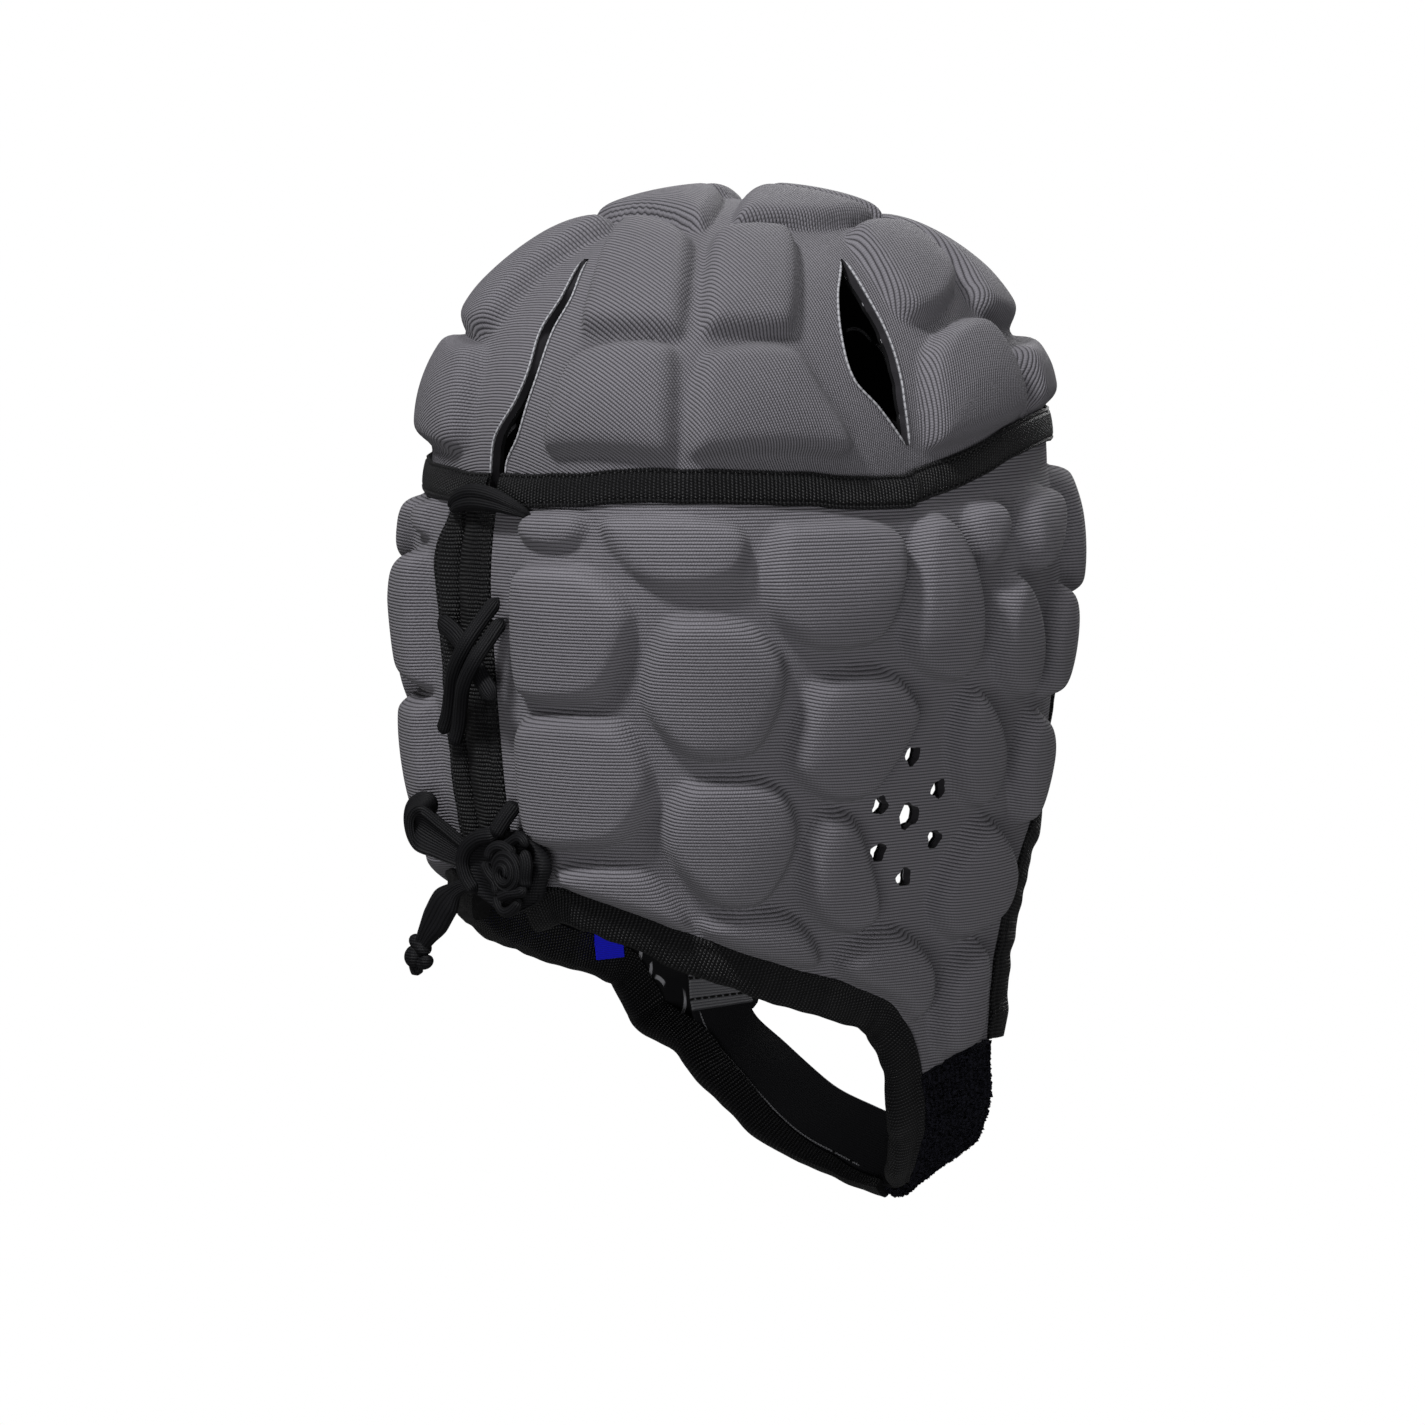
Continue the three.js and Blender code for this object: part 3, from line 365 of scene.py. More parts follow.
def makeRibs():  # rounded ribs across the cloth's run, broken into yarns
    tree, given, made = newGroup("ribbedCloth",
        [("Cloth", vectorKind, None), ("Rib", numberKind, 0.001), ("Yarn", numberKind, 0.0008),
        ("Yarn Share", numberKind, 0.35), ("Wander", numberKind, 0.0002)],
        [("Height", numberKind), ("Groove Shade", numberKind)])
    calc = partial(mathNode, tree)
    parts = tree.nodes.new("ShaderNodeSeparateXYZ")
    tree.links.new(given["Cloth"], parts.inputs[0])
    drift = calc("MULTIPLY", calc("SUBTRACT", noiseNode(tree, given["Cloth"], 160.0), 0.5), given["Wander"])
    row = calc("DIVIDE", calc("ADD", parts.outputs[1], drift), given["Rib"])
    ridge = hump(calc, row)
    column = calc("ADD", calc("DIVIDE", calc("ADD", parts.outputs[0], drift), given["Yarn"]),
        calc("MULTIPLY", calc("FLOOR", row), 0.5))
    yarn = hump(calc, column)
    broken = calc("ADD", calc("MULTIPLY", yarn, given["Yarn Share"]),
        calc("SUBTRACT", 1.0, given["Yarn Share"]))
    height = calc("MULTIPLY", ridge, broken)
    tree.links.new(height, made["Height"])
    # this output is high on the ridges and low in the grooves; as a colour mask it paints shade into the
    # grooves between the ribs
    tree.links.new(calc("SMOOTH_MIN", calc("MULTIPLY", height, 1.6), 1.0, 0.3), made["Groove Shade"])
    return tree


def makeTone():  # painted shade in the rib grooves (Dark where Mask is low in the grooves, Light on the ridges), times uneven dye and lint
    tree, given, made = newGroup("grooveShadeAndYarnTone",
        [("Place", vectorKind, None), ("Light", colourKind, None), ("Dark", colourKind, None),
        ("Mask", numberKind, 1.0), ("Fleck", numberKind, 0.2)], [("Color", colourKind)])
    calc = partial(mathNode, tree)
    # painted shade: the Dark colour in the rib grooves, the Light colour on the rib tops
    base = mixColour(tree, given["Mask"], given["Dark"], given["Light"])
    fine = calc("MULTIPLY", calc("SUBTRACT", noiseNode(tree, given["Place"], 2600.0, 2.0), 0.5), given["Fleck"])
    broad = calc("MULTIPLY", calc("SUBTRACT", noiseNode(tree, given["Place"], 28.0, 3.0), 0.5), 0.22)
    level = calc("ADD", calc("ADD", fine, broad), 1.0)
    grey = tree.nodes.new("ShaderNodeCombineColor")
    for socket in grey.inputs[:3]:
        tree.links.new(level, socket)
    tree.links.new(mixColour(tree, 1.0, base, grey.outputs[0], "MULTIPLY"), made["Color"])
    return tree


def makeStitches():  # one row of stitches at a place across the cloth
    tree, given, made = newGroup("stitchRow",
        [("Cloth", vectorKind, None), ("Row", numberKind, 0.0), ("Pitch", numberKind, 0.003),
        ("Width", numberKind, 0.0005)], [("Mask", numberKind)])
    calc = partial(mathNode, tree)
    parts = tree.nodes.new("ShaderNodeSeparateXYZ")
    tree.links.new(given["Cloth"], parts.inputs[0])
    along = hump(calc, calc("DIVIDE", parts.outputs[0], given["Pitch"]))
    away = calc("DIVIDE", calc("ABSOLUTE", calc("SUBTRACT", parts.outputs[1], given["Row"])), given["Width"])
    inside = calc("MAXIMUM", calc("SUBTRACT", 1.0, away), 0.0)
    tree.links.new(calc("MINIMUM", calc("MULTIPLY", inside, calc("MULTIPLY", along, 2.5)), 1.0), made["Mask"])
    return tree


def makeStrokes():  # loose short strokes in no order
    tree, given, made = newGroup("looseStrokes",
        [("Cloth", vectorKind, None), ("Count", numberKind, 110.0), ("Length", numberKind, 0.003),
        ("Width", numberKind, 0.0006)], [("Mask", numberKind)])
    calc = partial(mathNode, tree)
    cells = tree.nodes.new("ShaderNodeTexVoronoi")
    cells.voronoi_dimensions = "2D"
    tree.links.new(given["Cloth"], cells.inputs["Vector"])
    tree.links.new(given["Count"], cells.inputs["Scale"])
    offset = tree.nodes.new("ShaderNodeVectorMath")
    offset.operation = "SUBTRACT"
    tree.links.new(given["Cloth"], offset.inputs[0])
    tree.links.new(cells.outputs["Position"], offset.inputs[1])
    lot = tree.nodes.new("ShaderNodeSeparateColor")
    tree.links.new(cells.outputs["Color"], lot.inputs[0])
    turned = tree.nodes.new("ShaderNodeVectorRotate")
    turned.rotation_type = "Z_AXIS"
    tree.links.new(offset.outputs[0], turned.inputs["Vector"])
    tree.links.new(calc("MULTIPLY", lot.outputs[0], 2.6), turned.inputs["Angle"])
    parts = tree.nodes.new("ShaderNodeSeparateXYZ")
    tree.links.new(turned.outputs[0], parts.inputs[0])
    bowed = calc("MULTIPLY", calc("MULTIPLY", parts.outputs[0], parts.outputs[0]),
        calc("MULTIPLY", calc("SUBTRACT", lot.outputs[1], 0.5), 260.0))
    off = calc("DIVIDE", calc("ABSOLUTE", calc("SUBTRACT", parts.outputs[1], bowed)), given["Width"])
    end = calc("DIVIDE", calc("ABSOLUTE", parts.outputs[0]),
        calc("MULTIPLY", given["Length"], calc("ADD", lot.outputs[2], 0.4)))
    far = calc("MAXIMUM", off, end)
    tree.links.new(calc("MINIMUM", calc("MAXIMUM", calc("MULTIPLY", calc("SUBTRACT", 1.0, far), 3.0), 0.0),
        1.0), made["Mask"])
    return tree


ribs, tone, stitches, strokes = makeRibs(), makeTone(), makeStitches(), makeStrokes()
threadHeight = 1.5


def clothMaterial(name, looks):
    material = bpy.data.materials.new(name)
    material.use_nodes = True
    tree = material.node_tree
    calc = partial(mathNode, tree)
    shader = tree.nodes["Principled BSDF"]
    shader.inputs["Roughness"].default_value = looks["roughness"]
    shader.inputs["Sheen Weight"].default_value = looks.get("sheen", 0.0)
    shader.inputs["Sheen Roughness"].default_value = 0.5
    shader.inputs["Specular IOR Level"].default_value = looks.get("specular", 0.25)
    cloth = tree.nodes.new("ShaderNodeUVMap")
    cloth.uv_map = "cloth"
    place = tree.nodes.new("ShaderNodeTexCoord").outputs["Object"]

    def use(group, **values):
        node = tree.nodes.new("ShaderNodeGroup")
        node.node_tree = group
        for label, value in values.items():
            socket = node.inputs[label.replace("_", " ")]
            if isinstance(value, tuple):
                socket.default_value = (*value, 1)
            elif isinstance(value, (int, float)):
                socket.default_value = value
            else:
                tree.links.new(value, socket)
        return node

    laid = cloth.outputs[0]
    if looks.get("crosswise"):  # ribs run over the strip instead of along it
        parts, swapped = tree.nodes.new("ShaderNodeSeparateXYZ"), tree.nodes.new("ShaderNodeCombineXYZ")
        tree.links.new(laid, parts.inputs[0])
        tree.links.new(parts.outputs[1], swapped.inputs[0])
        tree.links.new(parts.outputs[0], swapped.inputs[1])
        laid = swapped.outputs[0]
    weave = use(ribs, Cloth=laid, Rib=looks["rib"], Yarn=looks["yarn"], Yarn_Share=looks.get("yarnShare", 0.35),
        Wander=looks.get("wander", 0.0002))
    # the groove mask darkens the colour in the rib grooves: painted shade between the ribs
    height, grooveShade = weave.outputs["Height"], weave.outputs["Groove Shade"]
    colour = use(tone, Place=place, Light=looks["light"], Dark=looks["dark"], Mask=grooveShade,
        Fleck=looks.get("fleck", 0.2)).outputs[0]
    for row in looks.get("stitchRows", ()):
        thread = use(stitches, Cloth=laid, Row=row["at"], Pitch=row["pitch"], Width=row["width"]).outputs[0]
        colour = mixColour(tree, thread, colour, row["colour"])
        height = calc("ADD", height, calc("MULTIPLY", thread, threadHeight))
    if "strokes" in looks:
        marks = use(strokes, Cloth=cloth.outputs[0], Count=looks["strokes"]["count"],
            Length=looks["strokes"]["length"], Width=looks["strokes"]["width"]).outputs[0]
        colour = mixColour(tree, marks, colour, looks["strokes"]["colour"])
    if "fuzz" in looks:
        height = calc("ADD", height,
            calc("MULTIPLY", noiseNode(tree, place, looks["fuzz"], 4.0, 0.65), looks.get("fuzzShare", 2.0)))
    bump = tree.nodes.new("ShaderNodeBump")
    bump.inputs["Strength"].default_value = looks.get("bump", 0.7)
    bump.inputs["Distance"].default_value = looks.get("relief", 0.0003)
    tree.links.new(height, bump.inputs["Height"])
    tree.links.new(bump.outputs[0], shader.inputs["Normal"])
    tree.links.new(colour, shader.inputs["Base Color"])
    return material


# light is each cloth's colour on its rib tops, dark its colour in the rib grooves; the step between them is
# painted shade in the grooves
finishes = {
    "knit": {"light": (0.137, 0.132, 0.148), "dark": (0.013, 0.012, 0.015), "roughness": 0.8, "sheen": 0.06,
        "rib": 0.00092, "yarn": 0.0008, "yarnShare": 0.38, "fleck": 0.35, "bump": 1.0, "relief": 0.0004},
    "tape": {"light": (0.007, 0.007, 0.008), "dark": (0.0005, 0.0005, 0.0006), "roughness": 0.5,
        "specular": 0.22, "fleck": 1.2, "crosswise": True, "rib": 0.00115, "yarn": 0.0009, "yarnShare": 0.5,
        "wander": 0.0006, "bump": 1.0, "relief": 0.0007},
    "lining": {"light": (0.006, 0.006, 0.007), "dark": (0.003, 0.003, 0.0035), "roughness": 0.7,
        "specular": 0.15, "rib": 0.0006, "yarn": 0.0006, "bump": 0.3, "relief": 0.0002,
        "strokes": {"count": 80.0, "length": 0.0048, "width": 0.0008, "colour": (0.3, 0.3, 0.32)}},
    "lace": {"light": (0.0045, 0.0045, 0.0055), "dark": (0.0012, 0.0012, 0.0018), "roughness": 0.62,
        "specular": 0.14, "fleck": 0.7, "rib": 0.0009, "yarn": 0.0007, "bump": 0.8, "relief": 0.0003},
    "pile": {"light": (0.012, 0.012, 0.02), "dark": (0.002, 0.002, 0.004), "roughness": 0.9, "specular": 0.12,
        "fleck": 1.6, "rib": 0.0016, "yarn": 0.0013, "bump": 1.0, "relief": 0.0009, "fuzz": 900.0,
        "fuzzShare": 4.0},
    "webbing": {"light": (0.006, 0.006, 0.007), "dark": (0.003, 0.003, 0.004), "roughness": 0.75,
        "specular": 0.12, "rib": 0.0007, "yarn": 0.0007, "bump": 0.4, "relief": 0.0002},
    "patch": {"crosswise": True,
        "stitchRows": [{"at": 0.0035, "pitch": 0.0026, "width": 0.0006, "colour": (0.003, 0.003, 0.003)},
        {"at": 0.0105, "pitch": 0.0026, "width": 0.0006, "colour": (0.003, 0.003, 0.003)}],
        "light": (0.13, 0.13, 0.138), "dark": (0.05, 0.05, 0.055), "roughness": 0.8, "specular": 0.15,
        "rib": 0.001, "yarn": 0.0008, "bump": 0.6, "relief": 0.0003},
    "label": {"light": (0.008, 0.01, 0.85), "dark": (0.005, 0.007, 0.5), "roughness": 0.55, "sheen": 0.1,
        "rib": 0.0006, "yarn": 0.0006, "bump": 0.4, "relief": 0.0002},
    "thread": {"light": (0.3, 0.3, 0.32), "dark": (0.03, 0.03, 0.035), "roughness": 0.8, "specular": 0.15,
        "rib": 0.0014, "yarn": 0.0022, "yarnShare": 0.8, "bump": 0.6, "relief": 0.0003},
    "cutFoam": {"light": (0.02, 0.02, 0.022), "dark": (0.008, 0.008, 0.009), "roughness": 0.95, "rib": 0.0008,
        "yarn": 0.0008, "bump": 0.5, "relief": 0.0003},
}
materials = {name: clothMaterial(name, looks) for name, looks in finishes.items()}
print("materials made")


# Pads: each swells up inwards from its outline
padForm = {"shoulder": 5.8, "foot": 0.2, "domed": 0.3, "crest": 9.0, "power": 2.7, "blend": 1.2, "narrow": 0.3}


def nearest(points, fence):
    tree = KDTree(len(fence))
    for k, q in enumerate(fence):
        tree.insert(q, k)
    tree.balance()
    return np.array([tree.find(p)[2] for p in points])


def swell(t, shoulder):  # a pad's height from its outline inwards, as a share
    t = 0.5 * (t + np.sqrt(t**2 + padForm["foot"] ** 2))
    side = 1 - (1 - np.clip(t / shoulder, 0, 1)) ** padForm["power"]
    return (1 - padForm["domed"]) * side + padForm["domed"] * (1 - np.exp(-t / padForm["crest"]))


def rounded(corners):  # trims the corners of a closed outline, twice
    loop = np.array(corners, float)
    for _ in range(2):
        after = np.roll(loop, -1, 0)
        loop = np.stack([loop * 0.75 + after * 0.25, loop * 0.25 + after * 0.75], 1).reshape(-1, 2)
    return loop


def creases(flat, rows):  # shallow folds: middle, run and width in flat millimetres
    height = np.zeros(len(flat))
    for row in rows:
        (x, y), angle = row["middle"], math.radians(row["lean"])
        along = (flat[:, 0] - x) * math.cos(angle) + (flat[:, 1] - y) * math.sin(angle)
        off = (flat[:, 1] - y) * math.cos(angle) - (flat[:, 0] - x) * math.sin(angle)
        height += row["lift"] * np.exp(-((off / row["width"]) ** 2) - (along / row["run"]) ** 2)
    return height


def outlineRise(flat, base, lay, pads, fences, rise):  # lay puts flat millimetres on the shape
    margin = np.full(len(flat), 1e3)
    for fence, gap in fences:
        margin = np.minimum(margin, nearest(base, fence) - gap)
    height = np.zeros(len(flat))
    for pad in pads:
        loop = rounded(pad["corners"]) * np.array([pad.get("mirror", 1), 1])
        low, high = loop.min(0) - 0.5, loop.max(0) + 0.5
        near = np.nonzero(((flat > low) & (flat < high)).all(1))[0]
        x, y = flat[near].T
        crossings = np.zeros(len(near), int)
        for (x0, y0), (x1, y1) in zip(loop, np.roll(loop, -1, 0)):
            if y0 != y1:
                crossings += ((y0 > y) != (y1 > y)) & (x < (x1 - x0) * (y - y0) / (y1 - y0) + x0)
        near = near[crossings % 2 == 1]
        steps = np.linspace(0, 1, 5)[:-1, None, None]
        dense = (loop * (1 - steps) + np.roll(loop, -1, 0) * steps).reshape(-1, 2)
        t = nearest(base[near], lay(dense))
        blend = padForm["blend"]
        t = -blend * np.log(np.exp(-t / blend) + np.exp(-np.maximum(margin[near], -6) / blend))
        shoulder = min(padForm["shoulder"], padForm["narrow"] * min(high - low))
        height[near] = np.maximum(height[near], pad["rise"] * swell(t, shoulder))
    return rise * height


def eased(values, u, v, cloth, closed=False):  # evens a field out over the grid
    i, j = np.rint(u * cloth["columns"]).astype(int), np.rint(v * cloth["rows"]).astype(int)
    field = np.zeros((cloth["columns"] + 1, cloth["rows"] + 1))
    field[i, j] = values
    wide = np.pad(field, ((1, 1), (0, 0)), mode="edge")
    if closed:
        wide[0], wide[-1] = field[-2], field[1]
    field = (wide[:-2] + 2 * wide[1:-1] + wide[2:]) / 4
    tall = np.pad(field, ((0, 0), (1, 1)), mode="edge")
    field = (tall[:, :-2] + 2 * tall[:, 1:-1] + tall[:, 2:]) / 4
    return field[i, j]


def liningLayers(base, normal):
    top = -wall["shell"] - wall["gap"]
    return base + normal * top, base + normal * (top - wall["lining"])


def dress(piece, finish, node=None):  # gives a piece its cloth and hides the solid it stands for
    piece.data.materials.append(materials[finish])
    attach(piece, "root")
    if node:
        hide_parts(node)


# Slits: four tall pointed openings in the crown, sizes as shares of width and height
slit = {"width": 18.0, "height": 53.0, "top": -13.0, "margin": 3.6, "uneven": 0.25}
slitLips = rowsOf(
    "down rear front",
    (0.0, 0.17, 0.12),
    (0.2, 0.72, 0.12),
    (0.43, 1.0, 0.04),
    (0.64, 0.98, 0.03),
    (0.79, 0.6, 0.05),
    (1.0, 0.12, 0.04),
)
backLips = rowsOf(
    "down rear front",
    (0.0, 0.12, -0.02),
    (0.2, 0.58, 0.33),
    (0.38, 0.66, 0.36),
    (0.59, 0.75, 0.5),
    (0.76, 0.72, 0.4),
    (0.95, 0.62, 0.05),
    (1.1, 0.4, 0.0),
    (1.4, 0.4, 0.0),
)
slits = rowsOf(
    "lips turn mirror",
    (slitLips, -90, -1),
    (slitLips, 90, 1),
    (slitLips, 0, 1),
    (backLips, 180, 1),
)


def turned(x, y, degrees):
    c, s = math.cos(math.radians(degrees)), math.sin(math.radians(degrees))
    return x * c - y * s, x * s + y * c


def lipPlaces(opening, key, downs, out):  # points on the knit along one lip
    z = slit["top"] - downs * slit["height"]
    aim = opening["mirror"] * through(opening["lips"], "down", key, downs) * slit["width"]
    middle = {-90: 0.5, 90: -0.5, 0: 1.0, 180: 0.0}[opening["turn"]]
    shares = middle + np.linspace(-0.16, 0.16, 161)
    result = []
    for height, target in zip(z, aim):
        local = turned(*ring(turnOf(shares), height)[:, :2].T, -opening["turn"])[0]
        order = np.argsort(local)
        result.append(np.interp(target, local[order], shares[order]))
    return onWall(np.array(result), z, out)


def slitFence(opening):
    downs = np.linspace(0, min(opening["lips"][-1]["down"], 1.1), 17)
    return np.concatenate([lipPlaces(opening, key, downs, 0.0)[0] for key in ("rear", "front")])


def slitCutter(opening, number):
    downs = np.linspace(0, opening["lips"][-1]["down"], 26)
    z = slit["top"] - downs * slit["height"]
    rear = opening["mirror"] * through(opening["lips"], "down", "rear", downs) * slit["width"]
    front = opening["mirror"] * through(opening["lips"], "down", "front", downs) * slit["width"]
    rear = rear + slit["uneven"] * wave(z, 7.0, number)
    front = front + slit["uneven"] * wave(z, 8.0, number + 2)
    loop = [(x, h) for x, h in zip(rear, z)] + [(x, h) for x, h in zip(front[::-1], z[::-1])]
    bm = bmesh.new()
    verts = [bm.verts.new((*[c * metre for c in turned(x, -20, opening["turn"])], h * metre)) for x, h in loop]
    face = bm.faces.new(verts)
    grown = bmesh.ops.extrude_face_region(bm, geom=[face], use_keep_orig=True)
    push = turned(0, -0.1, opening["turn"])
    bmesh.ops.translate(bm, vec=(*push, 0),
        verts=[g for g in grown["geom"] if isinstance(g, bmesh.types.BMVert)])
    bmesh.ops.recalc_face_normals(bm, faces=bm.faces)
    bmesh.ops.triangulate(bm, faces=bm.faces)
    return toObject(bm, f"slitCutter{number}")


slitCutters = [slitCutter(opening, number) for number, opening in enumerate(slits)]

# Crown
crownCloth = {"padRise": 7.6, "columns": 460, "rows": 130, "patternReach": 124.0, "clothReach": 0.124,
    "tapeMargin": 5.0}
# Pad outlines of the crown: corners on its flat pattern in millimetres, right and back of the middle;
# pair is 1 where the outline is also mirrored
crownOutlines = rowsOf(
    "pair rise corners",
    (0, 0.9, [(-4, 7), (4, 7), (24, 27), (23, 32), (-23, 32), (-24, 27)]),
    (0, 0.9, [(-4, -7), (4, -7), (24, -27), (22, -31), (-22, -31), (-24, -27)]),
    (1, 0.9, [(7, 4), (26, 23), (30, 22), (38, 6), (38, -4), (28, -24), (25, -23), (7, -4)]),
    (0, 1.0, [(-3, 40), (-5, 35), (-14, 34), (-27, 35), (-32, 39), (-54, 60), (-53, 63), (-30, 79), (-15, 79),
        (-12, 66), (-8, 50)]),
    (0, 1.0, [(-15, 88), (-19, 83), (-30, 80), (-53, 64), (-58, 66), (-70, 79), (-77, 87), (-75, 91),
        (-34, 113), (-15, 116), (-13, 100)]),
    (0, 1.0, [(2, 39), (5, 35), (14, 34), (27, 35), (32, 39), (54, 60), (53, 63), (28, 77), (23, 75), (17, 65),
        (4, 47)]),
    (1, 1.0, [(29, 32), (29, 27), (37, 14), (43, 12), (63, 25), (73, 33), (73, 37), (59, 57), (55, 56),
        (42, 44)]),
    (0, 1.0, [(27, 86), (30, 79), (53, 64), (58, 66), (70, 79), (77, 87), (75, 91), (34, 112), (29, 110),
        (27, 97)]),
    (1, 1.0, [(62, 61), (63, 57), (75, 37), (81, 34), (92, 33), (110, 26), (113, 30), (110, 41), (83, 84),
        (78, 83), (69, 72)]),
    (1, 1.0, [(29, -27), (36, -10), (45, -4), (60, -4), (74, -6), (78, -12), (72, -23), (59, -34), (50, -36),
        (31, -32)]),
    (1, 1.0, [(3, -39), (5, -35), (24, -35), (48, -40), (60, -39), (64, -45), (56, -60), (30, -77), (23, -75),
        (5, -48)]),
    (1, 1.0, [(68, -34), (82, -15), (90, -9), (113, -6), (117, -12), (99, -55), (88, -60), (74, -51),
        (66, -42)]),
    (1, 1.0, [(27, -86), (31, -80), (56, -65), (68, -55), (84, -65), (90, -72), (84, -80), (62, -98),
        (34, -112), (28, -108)]),
)
crownPads = [{**pad, "mirror": way} for pad in crownOutlines for way in ((1, -1) if pad["pair"] else (1,))]
ringShares = np.linspace(-1, 1, 241)
crownFences = [(slitFence(opening), slit["margin"]) for opening in slits]
crownFences.append((onWall(ringShares, tapeLine(ringShares))[0], crownCloth["tapeMargin"]))


def crownPlace(u, v):
    share = u * 2 - 1
    rim = arcOf(tapeLine(share) + wall["seam"])
    arc = rim * v**0.95
    a, b = arc * np.cos(share * math.pi), arc * np.sin(share * math.pi)
    return (np.stack([b, a], 1), *onDome(a, b))


def crownSheets(u, v):
    pattern, base, normal = crownPlace(u, v)
    reach = crownCloth["patternReach"]

    def lay(flat):
        return onDome(flat[:, 1] / reach, flat[:, 0] / reach)[0]

    rise = outlineRise(pattern * reach, base, lay, crownPads, crownFences, crownCloth["padRise"])
    rise = eased(rise, u, v, crownCloth, closed=True)
    return base + normal * rise[:, None], base - normal * wall["shell"], pattern * crownCloth["clothReach"]


def crownLiningSheets(u, v):
    pattern, base, normal = crownPlace(u, v)
    return (*liningLayers(base, normal), pattern * crownCloth["clothReach"])


crown = slab("crownKnit", crownCloth["columns"], crownCloth["rows"], crownSheets, joined=True)
crownLining = slab("crownLiningCloth", 160, 44, crownLiningSheets, joined=True)
for piece, finish in ((crown, "knit"), (crownLining, "lining")):
    piece.data.materials.append(materials[finish])
for cutter in slitCutters:
    cutter.data.materials.append(materials["cutFoam"])
cut(crown, slitCutters)
cut(crownLining, slitCutters)
drop(slitCutters)
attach(crown, "root")
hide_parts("crown")
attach(crownLining, "root")
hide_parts("crown_lining")
print("crown made", len(crown.data.polygons))

# Side panels: each fold line's place at the tape and at the free edge
panelColumns = rowsOf(
    "at top low down",
    (0, 0.0, 0.0, 0.675),
    (1, 0.05, 0.055, 0.655),
    (2, 0.1, 0.11, 0.667),
    (3, 0.15, 0.17, 0.695),
    (4, 0.205, 0.238, 0.735),
    (5, 0.26, 0.31, 0.772),
    (6, 0.32, 0.385, 0.808),
    (7, 0.385, 0.45, 0.836),
    (8, 0.437, 0.494, 0.867),
    (9, 0.48, 0.524, 0.93),
    (10, 0.515, 0.55, 0.985),
    (11, 0.56, 0.61, 0.977),
    (12, 0.605, 0.668, 0.967),
    (13, 0.642, 0.673, 0.867),
    (14, 0.677, 0.68, 0.756),
    (15, 0.713, 0.703, 0.667),
    (16, 0.75, 0.738, 0.583),
    (17, 0.79, 0.77, 0.483),
    (18, 0.828, 0.797, 0.389),
    (19, 0.868, 0.835, 0.29),
    (20, 0.93, 0.9, 0.243),
    (21, 1.0, 1.0, 0.233),
)
panelCount = 21
tabRear, tabFront = 10, 12  # the ear tab's two corners
panelCloth = {"padRise": 8.5, "columns": 320, "rows": 170, "tapeMargin": 5, "lowerMargin": 1.0,
    "tabMargin": 1.5, "faceMargin": 2, "rearMargin": 7, "frontMargin": 2}
# Pad outlines of a side panel: corners as millimetres round from the centre back and height
padOutlines = rowsOf(
    "rise corners",
    (0.7, [(17, -89), (20, -83), (29, -81), (39, -83), (42, -89), (38, -94), (28, -95), (19, -93)]),
    (0.85, [(44, -87), (50, -83), (75, -84), (90, -88), (88, -102), (75, -106), (60, -105), (50, -96)]),
    (1.0, [(91, -106), (95, -88), (101, -86), (138, -87), (140, -101), (133, -119), (125, -123), (108, -123),
        (98, -117)]),
    (1.0, [(140, -110), (142, -92), (149, -85), (159, -87), (167, -104), (170, -121), (168, -131), (159, -136),
        (145, -131), (137, -122)]),
    (0.85, [(163, -94), (165, -84), (180, -82), (184, -90), (179, -99), (171, -103)]),
    (1.0, [(187, -97), (189, -83), (210, -79), (217, -87), (209, -100), (197, -107)]),
    (1.0, [(221, -98), (224, -80), (248, -73), (252, -100), (244, -115), (229, -115)]),
    (1.0, [(257, -100), (258, -72), (286, -71), (287, -112), (263, -114)]),
    (1.0, [(17, -110), (18, -101), (24, -98), (43, -98), (57, -108), (57, -119), (51, -134), (44, -138),
        (24, -139), (18, -134)]),
    (1.0, [(58, -134), (63, -116), (68, -111), (86, -112), (99, -122), (102, -132), (96, -150), (89, -154),
        (73, -154), (62, -143)]),
    (1.0, [(102, -153), (107, -134), (113, -129), (132, -127), (147, -138), (148, -145), (137, -163),
        (130, -168), (116, -167), (106, -160)]),
    (1.0, [(174, -112), (181, -102), (190, -107), (198, -120), (200, -132), (195, -143), (185, -141),
        (175, -131)]),
    (1.0, [(204, -116), (213, -107), (225, -114), (228, -128), (221, -141), (210, -145), (202, -134)]),
    (1.0, [(17, -160), (18, -145), (25, -141), (51, -140), (59, -146), (65, -159), (63, -168), (57, -177),
        (47, -180), (25, -181), (17, -174)]),
    (1.0, [(65, -174), (71, -161), (77, -158), (99, -158), (109, -170), (109, -181), (102, -194), (95, -198),
        (81, -197), (70, -185)]),
    (1.0, [(110, -188), (112, -174), (117, -169), (127, -170), (134, -180), (143, -199), (140, -206),
        (131, -208), (121, -205), (112, -197)]),
    (1.0, [(160, -146), (165, -137), (172, -137), (181, -145), (187, -156), (186, -168), (180, -174),
        (171, -173), (163, -162)]),
    (1.0, [(192, -156), (198, -145), (210, -147), (217, -156), (216, -167), (211, -178), (204, -183),
        (196, -175)]),
    (0.8, [(27, -188), (37, -184), (60, -183), (68, -190), (77, -202), (72, -206), (58, -203), (38, -196)]),
    (0.8, [(77, -203), (83, -198), (103, -197), (112, -201), (122, -213), (119, -218), (102, -216),
        (84, -209)]),
    (1.05, [(125, -216), (131, -209), (145, -206), (152, -207), (164, -215), (168, -224), (166, -234),
        (158, -238), (146, -232), (130, -222)]),
    (1.0, [(161, -203), (165, -190), (177, -176), (187, -177), (199, -188), (202, -197), (198, -208),
        (186, -213), (171, -214)]),
    (1.1, [(168, -240), (171, -222), (177, -217), (191, -212), (192, -243), (187, -248), (174, -250)]),
)
